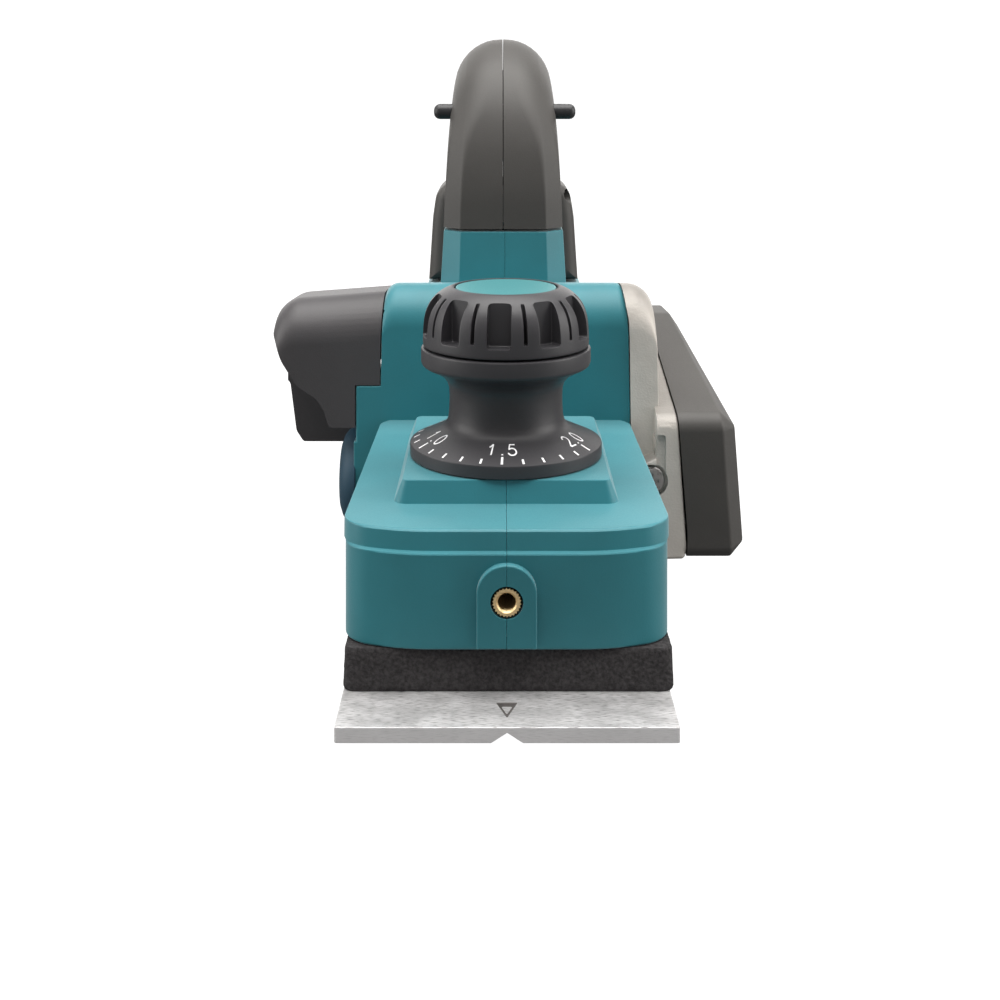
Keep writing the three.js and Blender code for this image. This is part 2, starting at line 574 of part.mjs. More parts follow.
place("front_base", "front_base", frontBase(), MILLED);
[-1, 1].forEach((side) => {
  const pin = rodZ(3, PLANING_DEPTH + 1.5, 34, side * GUIDE_X, KNOB.y, 16);
  place("front_base", side < 0 ? "guide_pin_right" : "guide_pin_left", pin, STEEL);
});

function foamSeal() {
  const half = SOLE.half - 0.2;
  const wall = 8;
  const y0 = NOSE.frontY;
  const y1 = -33;
  const z0 = PLANING_DEPTH + SOLE.thick + GAP;
  const outer = solid(alongZ(roundedBox(-half, half, y0, y1, 3), z0, NOSE.z0 - GAP));
  return cut(outer, box(-half + wall, half - wall, y0 + wall, y1 - 4, 0, 30));
}
place("housing", "foam_seal", foamSeal(), FOAM);

const SPRING = { r: 12.6, wireR: 0.9, turns: 5, z0: 7, height: 34.5 };
function depthSpring() {
  const steps = SPRING.turns * 9;
  const points = [];
  for (let i = 0; i <= steps; i++) {
    const a = (i / steps) * SPRING.turns * 2 * Math.PI;
    const z = SPRING.z0 + (SPRING.height * i) / steps;
    points.push(new THREE.Vector3(SPRING.r * Math.cos(a), SPRING.r * Math.sin(a), z));
  }
  const wire = new THREE.Shape().absarc(0, 0, SPRING.wireR, 0, 2 * Math.PI, false);
  const path = new THREE.CatmullRomCurve3(points);
  const options = { steps, curveSegments: 3, extrudePath: path, bevelEnabled: false };
  return solid(new THREE.ExtrudeGeometry(wire, options).translate(0, KNOB.y, 0));
}
place("housing", "depth_spring", depthSpring(), STEEL);

function rearBase() {
  const { half, throatRearY, rearY } = SOLE;
  const topZ = TAIL.z0 - 0.4;
  const corners = [[-half, throatRearY], [half, throatRearY], [half, rearY, 8], [-half, rearY, 8]];
  const plate = solid(alongZ(roundedPolygon(corners), 0, topZ));
  const pocket = box(-half + 8, half - 8, throatRearY + 14, 96, 4.5, 10);
  const slot = box(FOOT.x0 - 1, FOOT.x1 + 1, 104, rearY + 1, -1, 10);
  const bosses = REAR_SCREWS.map(([x, y]) => rodZ(5, 2, topZ, x, y, 12));
  const holes = REAR_SCREWS.flatMap(([x, y]) => [rodZ(4, -1, 3, x, y, 16), rodZ(2.2, 0, 10, x, y, 10)]);
  return cut(union(cut(plate, pocket), ...bosses), slot, ...holes);
}
place("housing", "rear_base", rearBase(), MILLED);
REAR_SCREWS.forEach(([x, y], i) => {
  const screw = union(rodZ(3.4, 0.6, 2.7, x, y, 16), rodZ(1.8, 2.5, 20, x, y, 10));
  place("housing", `rear_base_screw_${i + 1}`, screw, STEEL);
});

const footSide = roundedPolygon([
  [107, 16], [118, 16], [119, 10], [146, 5.4, 2], [146, 0.5], [133, 0.5, 3], [107, 9.4, 3],
]);
const footLever = cut(
  solid(alongX(footSide, FOOT.x0, FOOT.x1)),
  rodX(2.1, FOOT.x0 - 1, FOOT.x1 + 1, FOOT.pivotY, FOOT.pivotZ, 16),
);
place("foot", "parking_foot", footLever, DARK);
place("housing", "foot_pin", rodX(1.75, FOOT.x0 - 3.5, FOOT.x1 + 3.5, FOOT.pivotY, FOOT.pivotZ, 12), STEEL);

// ---------- depth knob ----------
const dial = turned([
  [0, KNOB.dialZ], [KNOB.dialR, KNOB.dialZ], [KNOB.dialR, KNOB.dialZ + 3.4], [19, KNOB.dialZ + 6.6],
  [16.8, KNOB.dialZ + 9.5], [KNOB.neckR, KNOB.dialZ + 14], [KNOB.neckR, 70], [18.6, 75], [22.6, 78.2],
  [KNOB.collarR, 79.2], [KNOB.collarR, KNOB.collarZ], [0, KNOB.collarZ],
], 32);
const screwSocket = rodZ(DEPTH_SCREW.r + GAP, 50, 81, 0, 0);
place("knob", "knob_dial", cut(dial, screwSocket), DARK);
const gripRing = turned([
  [0, KNOB.gripZ], [KNOB.gripR, KNOB.gripZ], [KNOB.gripR - 0.3, 90.5], [21.8, 95.8], [18, 99.6],
  [15.4, KNOB.topZ], [0, KNOB.topZ],
], 30);
const pocketPitch = 360 / KNOB.pockets;
const pocketCuts = Array.from({ length: KNOB.pockets }, (_, i) => {
  return box(-3.4, 3.4, -30, -22.2, 86.2, 97.6).rotate([0, 0, i * pocketPitch - 4]);
});
const capSeat = rodZ(KNOB.capR + GAP, KNOB.topZ - 2.2, KNOB.topZ + 1, 0, 0);
place("knob", "knob_grip", cut(gripRing, capSeat, ...pocketCuts), DARK);
place("knob", "knob_cap", rodZ(KNOB.capR, KNOB.topZ - 1.9, KNOB.topZ + 0.1, 0, 0), TEAL_LIGHT);
place("knob", "depth_screw", rodZ(DEPTH_SCREW.r, DEPTH_SCREW.z0, 80.6, 0, 0, 20), STEEL);

// ---------- cutter drum ----------
const CLAMP_SCREW_X = [-24, 24];
function halfTurn(made) {
  return made.rotate([180, 0, 0]);
}
const slotCut = box(-HUGE, HUGE, -1.1, 6, 12, 30);
const drumBody = union(
  cut(rodX(DRUM.bodyR, -DRUM.half, DRUM.half, 0, 0, 36), slotCut, halfTurn(slotCut)),
  rodX(DRUM.shaftR, -47.8, 50, 0, 0),
  rodX(DRUM.endR, 40, DRUM.endX, 0, 0, 20),
);
place("drum", "cutter_drum", drumBody, CAST);
const bladeSide = polygon([[-0.8, 14.5], [0.5, 14.5], [0.5, 22.9], [-0.8, DRUM.cutR - 0.05]]);
const blade = solid(alongX(bladeSide, -DRUM.bladeHalf, DRUM.bladeHalf));
const clampY = 3.25;
const clampHoles = CLAMP_SCREW_X.map((x) => rodZ(2 + GAP, 10, 30, x, clampY, 12));
const clampBar = cut(box(-DRUM.half, DRUM.half, 0.8, 5.7, 12.3, 21.2), ...clampHoles);
const clampScrew = (x) => rodZ(2, 12.5, 21.3, x, clampY, 12);
place("drum", "blade_1", blade, STEEL);
place("drum", "blade_2", halfTurn(blade), STEEL);
place("drum", "blade_clamp_1", clampBar, CAST);
place("drum", "blade_clamp_2", halfTurn(clampBar), CAST);
CLAMP_SCREW_X.forEach((x, i) => {
  place("drum", `clamp_screw_${i + 1}`, clampScrew(x), BLACK);
  place("drum", `clamp_screw_${i + 3}`, halfTurn(clampScrew(x)), BLACK);
});

// A pulley along +X with two flanges, bored for its shaft.
function pulley(r, boreR) {
  const { x0, x1, flange, flangeThick } = PULLEY;
  const rims = union(rodX(r + flange, x0, x0 + flangeThick), rodX(r + flange, x1 - flangeThick, x1));
  return cut(union(rodX(r, x0, x1), rims), rodX(boreR, x0 - 1, x1 + 1, 0, 0, 20));
}
place("drum", "drum_pulley", pulley(PULLEY.drumR, DRUM.endR + GAP), BLACK);
const pulleyNut = rodX(8, PULLEY.x1 + GAP, DRUM.endX - 0.6, 0, 0, 6);
place("drum", "drum_pulley_nut", cut(pulleyNut, rodX(DRUM.endR + GAP, 60, 72, 0, 0, 16)), STEEL);

// ---------- motor ----------
const shaft = rodX(MOTOR.shaftR, MOTOR.shaftX0, MOTOR.shaftX1, 0, 0, 20);
place("motor", "motor_rotor", union(shaft, rodX(MOTOR.rotorR, STATOR.x0 + 1, STATOR.x1 - 1)), STEEL);
function fan() {
  const hub = rodX(8, 19, 29, 0, 0, 20);
  const plate = rodX(22, 19, 20.6);
  const fin = box(20, 28.6, -0.8, 0.8, 6, 21.6);
  const fins = Array.from({ length: 9 }, (_, i) => fin.rotate([(i * 360) / 9, 0, 0]));
  return cut(union(hub, plate, ...fins), rodX(MOTOR.shaftR + GAP, 10, 40, 0, 0, 20));
}
place("motor", "cooling_fan", fan(), BLACK);
place("motor", "motor_pulley", pulley(PULLEY.motorR, MOTOR.shaftR + GAP), BLACK);
const statorBore = rodX(MOTOR.rotorR + 0.7, -50, 50, MOTOR.y, MOTOR.z);
const stator = cut(rodX(MOTOR.statorR, STATOR.x0, STATOR.x1, MOTOR.y, MOTOR.z), statorBore);
place("housing", "motor_stator", stator, COPPER);

function ballBearing(x0, x1, y, z, outerR, shaftR) {
  return cut(rodX(outerR, x0, x1, y, z), rodX(shaftR + BEARING.clear, x0 - 1, x1 + 1, y, z));
}
const drumBearing = (x0, x1) => ballBearing(x0, x1, 0, DRUM.z, BEARING.drumOuterR, DRUM.shaftR);
const motorBearing = (x0, x1) => ballBearing(x0, x1, MOTOR.y, MOTOR.z, BEARING.motorOuterR, MOTOR.shaftR);
place("housing", "drum_bearing_left", drumBearing(BEARING.x0, BEARING.x1), STEEL);
place("housing", "drum_bearing_right", drumBearing(-BODY.lowSide + 1, -42), STEEL);
place("housing", "motor_bearing_left", motorBearing(BEARING.x0, BEARING.x1), STEEL);
place("housing", "motor_bearing_right", motorBearing(-35.6, -29.4), STEEL);

const beltLine = (out) => beltOutline(0, DRUM.z, PULLEY.drumR + out, MOTOR.y, MOTOR.z, PULLEY.motorR + out);
const loop = beltLine(GAP + BELT.thick);
loop.holes.push(beltLine(GAP));
place("housing", "drive_belt", solid(alongX(loop, BELT.x0, BELT.x1, 0, 10)), BLACK);

// ---------- battery ----------
function batteryBlock(y0, y1, inset) {
  const { half, z0, z1, round } = BATTERY;
  return solid(alongY(roundedBox(-half + inset, half - inset, z0 + inset, z1 - inset, round), y0, y1));
}
const batteryChannel = union(box(-10, 10, BATTERY.y0 - 1, 157, 0, 96), box(-14, 14, 153.4, 157, 0, 96));
const latchPocket = box(-12, 12, 158, 170, 100, 120);
const batteryCase = batteryBlock(BATTERY.y0, BATTERY.splitY, 0);
place("battery", "battery_case", cut(batteryCase, batteryChannel, latchPocket), DARK);
place("battery", "battery_back", batteryBlock(BATTERY.splitY + GAP, BATTERY.y1, 1.2), GREY);
const latchShape = roundedBox(-11.5, 11.5, 158.5, 169.5, 2);
place("latch", "battery_button", solid(alongZ(latchShape, 104.4, 110)), TEAL);

export default planer;
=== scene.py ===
"""The looks of a battery hand planer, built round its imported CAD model.

Lengths in the code are millimetres. Y is counted from the cutter drum's axis and Z from the rear sole.
Each finished piece is then moved into the model's own frame, in metres.
"""

import math

import bmesh
import bpy
from mathutils import Matrix, Vector, noise


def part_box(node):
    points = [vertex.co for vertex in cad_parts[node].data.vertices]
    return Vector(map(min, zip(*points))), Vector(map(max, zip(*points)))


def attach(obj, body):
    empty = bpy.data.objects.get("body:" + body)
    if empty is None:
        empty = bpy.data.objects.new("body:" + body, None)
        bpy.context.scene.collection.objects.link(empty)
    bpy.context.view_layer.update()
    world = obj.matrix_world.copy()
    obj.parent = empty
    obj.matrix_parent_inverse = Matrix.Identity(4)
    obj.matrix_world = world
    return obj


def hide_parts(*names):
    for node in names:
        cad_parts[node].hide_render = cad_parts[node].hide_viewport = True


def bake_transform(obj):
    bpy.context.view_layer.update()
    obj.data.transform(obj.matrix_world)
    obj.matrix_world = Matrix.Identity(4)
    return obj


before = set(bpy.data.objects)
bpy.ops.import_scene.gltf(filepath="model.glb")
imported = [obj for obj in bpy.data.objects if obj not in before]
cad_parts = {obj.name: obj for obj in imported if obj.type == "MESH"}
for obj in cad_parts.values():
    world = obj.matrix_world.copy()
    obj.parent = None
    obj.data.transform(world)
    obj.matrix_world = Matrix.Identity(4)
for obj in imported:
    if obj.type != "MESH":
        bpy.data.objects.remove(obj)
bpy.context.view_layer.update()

MM = 0.001
low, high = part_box("cutter_drum")
DRUM_Y = (low[1] + high[1]) / 2 / MM
DRUM_Z = 23.5
MOTOR_AT = (64, 50)
WALL = 2.6

# The viewpoint of the main view: level, with the picture shifted down.
CAMERA_X = -1.7
CAMERA_Y = -480
CAMERA_Z = 163.6
LENS = 50.4
SENSOR = 36
SHIFT = -0.434

KNOB_Y = -76
KNOB_RIBS = 10
INSERT_Z = 28.9
SOLE_BOTTOM = 1.5
SOLE_THICK = 3.8
ENGRAVED = 0.35


# ---------- outlines ----------
def inset_points(points, inset):
    """Moves a polygon's edges inwards. A point is (u, v, corner radius), and the points run anticlockwise."""
    moved = []
    for i, (u, v, radius) in enumerate(points):
        before = Vector(points[i - 1][:2])
        here = Vector((u, v))
        after = Vector(points[(i + 1) % len(points)][:2])
        way_in = (here - before).normalized()
        way_out = (after - here).normalized()
        left_in = Vector((-way_in.y, way_in.x))
        left_out = Vector((-way_out.y, way_out.x))
        shift = (left_in + left_out) * (inset / (1 + left_in.dot(left_out)))
        convex = way_in.cross(way_out) > 0
        radius = max(radius - inset, 0.15) if convex else radius + inset
        moved.append((here.x + shift.x, here.y + shift.y, radius))
    return moved


def outline(points, inset=0.0, steps=6):
    """The polygon with each corner rounded by an arc."""
    ring = []
    corners = inset_points(points, inset)
    for i, (u, v, radius) in enumerate(corners):
        here = Vector((u, v))
        back = Vector(corners[i - 1][:2]) - here
        ahead = Vector(corners[(i + 1) % len(corners)][:2]) - here
        room = 0.49 * min(back.length, ahead.length)
        back.normalize()
        ahead.normalize()
        half = back.angle(ahead) / 2
        reach = min(max(radius / math.tan(half), 0.02), room)
        radius = reach * math.tan(half)
        middle = here + (back + ahead).normalized() * (radius / math.sin(half))
        first = here + back * reach - middle
        last = here + ahead * reach - middle
        turn = math.atan2(first.cross(last), first.dot(last))
        for k in range(steps + 1):
            angle = turn * k / steps
            cos, sin = math.cos(angle), math.sin(angle)
            ring.append((middle.x + first.x * cos - first.y * sin, middle.y + first.x * sin + first.y * cos))
    return ring


def rectangle(u0, u1, v0, v1, radius=0.0):
    return [(u0, v0, radius), (u1, v0, radius), (u1, v1, radius), (u0, v1, radius)]


def on_axis(axis, u, v, w):
    """A point from its place in a section (u, v) and along the axis (w)."""
    if axis == "X":
        return (w, u, v)
    if axis == "Y":
        return (u, w, v)
    return (u, v, w)


# ---------- solids ----------
def band(count, first, second):
    """The faces between two rings of `count` points, which begin at the numbers `first` and `second`."""
    faces = []
    for k in range(count):
        beside = (k + 1) % count
        faces.append((first + k, first + beside, second + beside, second + k))
    return faces


def new_piece(name, vertices, faces):
    mesh = bpy.data.meshes.new(name)
    mesh.from_pydata(vertices, [], faces)
    work = bmesh.new()
    work.from_mesh(mesh)
    bmesh.ops.remove_doubles(work, verts=work.verts, dist=1e-4)
    bmesh.ops.recalc_face_normals(work, faces=work.faces)
    work.to_mesh(mesh)
    work.free()
    piece = bpy.data.objects.new(name, mesh)
    bpy.context.scene.collection.objects.link(piece)
    return piece


def loft(name, rings):
    """A closed skin through rings of equal count, with flat ends."""
    count = len(rings[0])
    vertices = [point for ring in rings for point in ring]
    faces = []
    for i in range(len(rings) - 1):
        faces += band(count, i * count, (i + 1) * count)
    faces.append(tuple(range(count - 1, -1, -1)))
    faces.append(tuple(range((len(rings) - 1) * count, len(rings) * count)))
    return new_piece(name, vertices, faces)


def quarter(radius, arcs=4):
    """Steps of a rounded rim, from the end face inwards: (depth, inset)."""
    steps = []
    for k in range(arcs + 1):
        angle = math.pi / 2 * k / arcs
        steps.append((radius * (1 - math.cos(angle)), radius * (1 - math.sin(angle))))
    return steps


def slab(name, points, lo, hi, axis, rim_lo=0.4, rim_hi=0.4, steps=6, move=None):
    """A plate across the axis. A rim is a radius, or a list of (depth, inset) from the end face inwards."""
    first = quarter(rim_lo) if isinstance(rim_lo, (int, float)) else rim_lo
    last = quarter(rim_hi) if isinstance(rim_hi, (int, float)) else rim_hi
    stations = [(lo + depth, inset) for depth, inset in first]
    stations += [(hi - depth, inset) for depth, inset in reversed(last)]
    rings = []
    for w, inset in stations:
        ring = [on_axis(axis, u, v, w) for u, v in outline(points, inset, steps)]
        rings.append([move(*point) for point in ring] if move else ring)
    return loft(name, rings)


def plain(points, lo, hi, axis):
    """A prism with sharp rims, for cutting."""
    return slab("cutter", points, lo, hi, axis, [(0, 0)], [(0, 0)], 4)


def block(x0, x1, y0, y1, z0, z1):
    return plain(rectangle(x0, x1, y0, y1), z0, z1, "Z")


def turned(name, profile, centre=(0, 0), axis="Z", facets=96):
    """A profile of (radius, height) turned about an axis. Both ends lie on the axis."""
    vertices = []
    for radius, height in profile:
        for k in range(facets):
            angle = 2 * math.pi * k / facets
            u, v = centre[0] + radius * math.cos(angle), centre[1] + radius * math.sin(angle)
            vertices.append(on_axis(axis, u, v, height))
    faces = []
    for i in range(len(profile) - 1):
        faces += band(facets, i * facets, (i + 1) * facets)
    return new_piece(name, vertices, faces)


def rod(radius, lo, hi, axis, centre, facets=48):
    return turned("cutter", [(0, lo), (radius, lo), (radius, hi), (0, hi)], centre, axis, facets)


def bake(piece):
    """Applies the piece's modifiers."""
    graph = bpy.context.evaluated_depsgraph_get()
    mesh = bpy.data.meshes.new_from_object(piece.evaluated_get(graph))
    piece.modifiers.clear()
    piece.data = mesh


def combine(piece, operation, *others):
    for other in others:
        step = piece.modifiers.new("combine", "BOOLEAN")
        step.operation = operation
        step.solver = "EXACT"
        step.object = other
        bake(piece)
        bpy.data.objects.remove(other)
    return piece


def join(piece, *others):
    return combine(piece, "UNION", *others)


def cut(piece, *others):
    return combine(piece, "DIFFERENCE", *others)


def soften(piece, width, angle=35, segments=2):
    """Rounds the sharp edges of a finished solid."""
    step = piece.modifiers.new("soften", "BEVEL")
    step.width = width
    step.segments = segments
    step.limit_method = "ANGLE"
    step.angle_limit = math.radians(angle)
    step.use_clamp_overlap = True
    bake(piece)
    return piece


def copy_of(piece, name):
    twin = bpy.data.objects.new(name, piece.data.copy())
    bpy.context.scene.collection.objects.link(twin)
    return twin


def halves(piece, left_name, right_name, gap):
    """Splits a moulding at its parting plane."""
    right = copy_of(piece, right_name)
    piece.name = left_name
    far = 300
    cut(piece, block(-far, gap / 2, -far, far, -far, far))
    cut(right, block(-gap / 2, far, -far, far, -far, far))
    return piece, right


# ---------- materials ----------
def linear(red, green, blue):
    """A colour as seen on a screen, 0 to 255, in the linear values that shaders use."""
    channels = []
    for value in (red, green, blue):
        share = value / 255
        channels.append(share / 12.92 if share <= 0.04045 else ((share + 0.055) / 1.055) ** 2.4)
    return (*channels, 1.0)


def shader(name):
    material = bpy.data.materials.new(name)
    material.use_nodes = True
    tree = material.node_tree
    return material, tree, tree.nodes["Principled BSDF"]


def noise_node(tree, scale, detail=3.0, stretch=(1, 1, 1), roughness=0.5):
    """Noise in the piece's own space. Scale is in features to the metre."""
    where = tree.nodes.new("ShaderNodeTexCoord")
    mapping = tree.nodes.new("ShaderNodeMapping")
    mapping.inputs["Scale"].default_value = stretch
    texture = tree.nodes.new("ShaderNodeTexNoise")
    texture.inputs["Scale"].default_value = scale
    texture.inputs["Detail"].default_value = detail
    texture.inputs["Roughness"].default_value = roughness
    tree.links.new(where.outputs["Object"], mapping.inputs["Vector"])
    tree.links.new(mapping.outputs["Vector"], texture.inputs["Vector"])
    return texture.outputs["Fac"]


def spread(tree, value, low_in, high_in, low_out, high_out):
    node = tree.nodes.new("ShaderNodeMapRange")
    node.inputs["From Min"].default_value = low_in
    node.inputs["From Max"].default_value = high_in
    node.inputs["To Min"].default_value = low_out
    node.inputs["To Max"].default_value = high_out
    tree.links.new(value, node.inputs["Value"])
    return node.outputs["Result"]


def blend_colour(tree, factor, first, second):
    """Goes from the first colour, which may be another node's output, to the second as the factor rises."""
    node = tree.nodes.new("ShaderNodeMix")
    node.data_type = "RGBA"
    if isinstance(first, bpy.types.NodeSocket):
        tree.links.new(first, node.inputs[6])
    else:
        node.inputs[6].default_value = first
    node.inputs[7].default_value = second
    tree.links.new(factor, node.inputs[0])
    return node.outputs[2]


def two_tone(tree, pattern, colour, low_in, high_in, dark, light):
    """The colour made darker and lighter by a pattern."""
    factor = spread(tree, pattern, low_in, high_in, 0, 1)
    return blend_colour(tree, factor, scaled(colour, dark), scaled(colour, light))


def upward(tree):
    """How far the surface looks up: 1 for a floor, 0 for a wall."""
    geometry = tree.nodes.new("ShaderNodeNewGeometry")
    parts = tree.nodes.new("ShaderNodeSeparateXYZ")
    tree.links.new(geometry.outputs["Normal"], parts.inputs[0])
    return parts.outputs["Z"]


def bump(tree, height, strength, distance, under=None):
    node = tree.nodes.new("ShaderNodeBump")
    node.inputs["Strength"].default_value = strength
    node.inputs["Distance"].default_value = distance * MM
    tree.links.new(height, node.inputs["Height"])
    if under:
        tree.links.new(under, node.inputs["Normal"])
    return node.outputs["Normal"]


def scaled(colour, factor):
    return (*(min(1.0, channel * factor) for channel in colour[:3]), 1.0)


def moulded(name, colour, roughness, grain=0.45, depth=0.05, mottle=0.08, edge_highlight_lift=1.25, sheen=0.0):
    """Moulded plastic: a spark-eroded grain, slight cloudiness, and edges painted a little lighter as a
    painted highlight.
    """
    material, tree, surface = shader(name)
    clouds = noise_node(tree, 45, 4)
    base = two_tone(tree, clouds, colour, 0.3, 0.7, 1 - mottle, 1 + mottle)
    # Painted highlight: where the bevel node's rounded normal turns away from the flat normal, the colour is
    # made lighter.
    edge = tree.nodes.new("ShaderNodeBevel")
    edge.inputs["Radius"].default_value = 0.5 * MM
    flat = tree.nodes.new("ShaderNodeNewGeometry")
    facing = tree.nodes.new("ShaderNodeVectorMath")
    facing.operation = "DOT_PRODUCT"
    tree.links.new(edge.outputs["Normal"], facing.inputs[0])
    tree.links.new(flat.outputs["Normal"], facing.inputs[1])
    painted_edge_highlight = spread(tree, facing.outputs["Value"], 0.985, 0.86, 0, 0.5)
    tree.links.new(blend_colour(tree, painted_edge_highlight, base, scaled(colour, edge_highlight_lift)), surface.inputs["Base Color"])
    fine = noise_node(tree, 1 / (grain * MM), 2)
    rough = spread(tree, fine, 0.2, 0.8, roughness - 0.07, roughness + 0.07)
    tree.links.new(rough, surface.inputs["Roughness"])
    tree.links.new(bump(tree, fine, 0.55, depth), surface.inputs["Normal"])
    surface.inputs["Specular IOR Level"].default_value = 0.45
    surface.inputs["Sheen Weight"].default_value = sheen
    surface.inputs["Sheen Roughness"].default_value = 0.4
    return material


def cast_metal(name, colour):
    """Die-cast aluminium: a coarse skin with smoother patches, and faces that look up painted darker, as
    painted shade against the overhead light.
    """
    material, tree, surface = shader(name)
    patches = noise_node(tree, 60, 5)
    clean = two_tone(tree, patches, colour, 0.35, 0.65, 0.88, 1.05)
    # Painted shade: the colour darkens as the surface turns upwards.
    tops_painted_darker = blend_colour(tree, spread(tree, upward(tree), 0.1, 0.8, 0, 1), clean, scaled(colour, 0.42))
    tree.links.new(tops_painted_darker, surface.inputs["Base Color"])
    surface.inputs["Metallic"].default_value = 0.25
    tree.links.new(spread(tree, patches, 0.3, 0.7, 0.42, 0.6), surface.inputs["Roughness"])
    pits = noise_node(tree, 1500, 2)
    waves = noise_node(tree, 350, 3)
    tree.links.new(bump(tree, pits, 0.7, 0.12, bump(tree, waves, 0.35, 0.25)), surface.inputs["Normal"])
    return material


def milled_metal(name, colour, stretch):
    """Machined aluminium: dark tool marks and brighter smears on top, and sides painted lighter, a painted
    highlight for faces the overhead light leaves dim.
    """
    material, tree, surface = shader(name)
    marks = noise_node(tree, 3600, 3, [min(1, 2 * share) for share in stretch])
    smears = noise_node(tree, 190, 3, [min(1, 9 * share) for share in stretch])
    mottled = two_tone(tree, smears, colour, 0.35, 0.65, 0.72, 1.04)
    lined = blend_colour(tree, spread(tree, marks, 0.5, 0.68, 0, 1), mottled, scaled(colour, 0.3))
    # Painted highlight: faces that do not look up are blended towards a lighter colour.
    sides = blend_colour(tree, spread(tree, upward(tree), 0.7, 0.2, 0, 0.75), lined, scaled(colour, 1.45))
    tree.links.new(sides, surface.inputs["Base Color"])
    surface.inputs["Metallic"].default_value = 0.45
    tree.links.new(spread(tree, marks, 0.3, 0.7, 0.3, 0.5), surface.inputs["Roughness"])
    tree.links.new(bump(tree, marks, 0.8, 0.06), surface.inputs["Normal"])
    return material


def plain_metal(name, colour, roughness, scratches=700, hollow_shade=False):
    """Turned or ground metal; the last flag paints shade into its hollows."""
    material, tree, surface = shader(name)
    streaks = noise_node(tree, scratches, 3, (1, 0.15, 1))
    clean = two_tone(tree, streaks, colour, 0.3, 0.7, 0.85, 1.05)
    tree.links.new(clean, surface.inputs["Base Color"])
    if hollow_shade:
        # Painted shade: where the ambient occlusion node finds a hollow, the colour goes almost black.
        hollow = tree.nodes.new("ShaderNodeAmbientOcclusion")
        hollow.inputs["Distance"].default_value = 4 * MM
        dark = spread(tree, hollow.outputs["AO"], 0.72, 0.42, 0, 1)
        tree.links.new(blend_colour(tree, dark, clean, scaled(colour, 0.08)), surface.inputs["Base Color"])
    surface.inputs["Metallic"].default_value = 1.0
    rough = spread(tree, streaks, 0.3, 0.7, roughness - 0.06, roughness + 0.08)
    tree.links.new(rough, surface.inputs["Roughness"])
    tree.links.new(bump(tree, streaks, 0.25, 0.02), surface.inputs["Normal"])
    return material


def foam_material(name, colour):
    """Open-cell foam: small dark pores in a dull skin."""
    material, tree, surface = shader(name)
    where = tree.nodes.new("ShaderNodeTexCoord")
    cells = tree.nodes.new("ShaderNodeTexVoronoi")
    cells.inputs["Scale"].default_value = 900
    tree.links.new(where.outputs["Object"], cells.inputs["Vector"])
    lumps = noise_node(tree, 1100, 4, roughness=0.6)
    tree.links.new(two_tone(tree, lumps, colour, 0.35, 0.68, 0.6, 1.35), surface.inputs["Base Color"])
    surface.inputs["Roughness"].default_value = 0.92
    surface.inputs["Specular IOR Level"].default_value = 0.2
    pores = bump(tree, cells.outputs["Distance"], 0.6, 0.3)
    tree.links.new(bump(tree, lumps, 0.9, 0.5, pores), surface.inputs["Normal"])
    return material


def rubber_like(name, colour, roughness):
    material, tree, surface = shader(name)
    dust = noise_node(tree, 300, 4)
    tree.links.new(two_tone(tree, dust, colour, 0.3, 0.7, 0.85, 1.2), surface.inputs["Base Color"])
    surface.inputs["Roughness"].default_value = roughness
    tree.links.new(bump(tree, dust, 0.3, 0.05), surface.inputs["Normal"])
    return material


TEAL = moulded("teal moulding", linear(35, 111, 121), 0.5, sheen=0.25)
TEAL_CAP = moulded("teal cap", linear(58, 118, 122), 0.42, 0.3, 0.02, 0.03, 1.05)
TEAL_DARK = moulded("teal blue cap", linear(20, 56, 74), 0.6, 0.4, 0.03)
GREY = moulded("grey moulding", linear(63, 61, 59), 0.56)
CHARCOAL = moulded("charcoal moulding", linear(61, 59, 61), 0.5)
KNOB = moulded("knob moulding", linear(51, 50, 53), 0.46, 0.35, 0.03)
BLACK = moulded("black moulding", linear(38, 38, 40), 0.45, 0.35, 0.03)
CAST = cast_metal("cast aluminium", linear(202, 196, 189))
MILLED = milled_metal("milled aluminium", linear(206, 205, 206), (0.06, 1, 0.5))
SOLE = milled_metal("ground sole", linear(190, 190, 192), (1, 0.06, 1))
STEEL = plain_metal("ground steel", linear(176, 174, 172), 0.3)
DARK_STEEL = plain_metal("black oxide steel", linear(70, 68, 70), 0.38)
# Painted shade for the floor of the engraved arrow.
ARROW_SHADE = plain_metal("arrow painted shade", linear(118, 114, 112), 0.6)
BRASS = plain_metal("brass", linear(252, 222, 170), 0.45, 1800, True)
COPPER = plain_metal("windings", linear(170, 100, 62), 0.35)
FOAM = foam_material("foam", linear(58, 56, 57))
BELT = rubber_like("belt rubber", linear(34, 34, 34), 0.7)
BOARD = rubber_like("circuit board", linear(40, 92, 58), 0.5)
INK = rubber_like("white ink", linear(232, 232, 234), 0.55)


def finish(piece, name, body, material, replaced=(), smooth=32):
    """Moves a piece into the model's frame. Gives it its finish and body, and hides the CAD nodes it stands
    for.
    """
    piece.data.transform(Matrix.Scale(MM, 4) @ Matrix.Translation((0, DRUM_Y, 0)))
    piece.name = name
    piece.data.name = name
    piece.data.materials.clear()
    piece.data.materials.append(material)
    for polygon in piece.data.polygons:
        polygon.use_smooth = True
        polygon.material_index = 0
    piece.data.set_sharp_from_angle(angle=math.radians(smooth))
    even = piece.modifiers.new("even shading", "WEIGHTED_NORMAL")
    even.keep_sharp = True
    if replaced:
        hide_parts(*replaced)
    if body:
        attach(piece, body)
    return piece


# ---------- the teal housing ----------
TOP_FALL = 0.1545
FLANK_LEAN = 0.00085
NOSE_TOP = 46


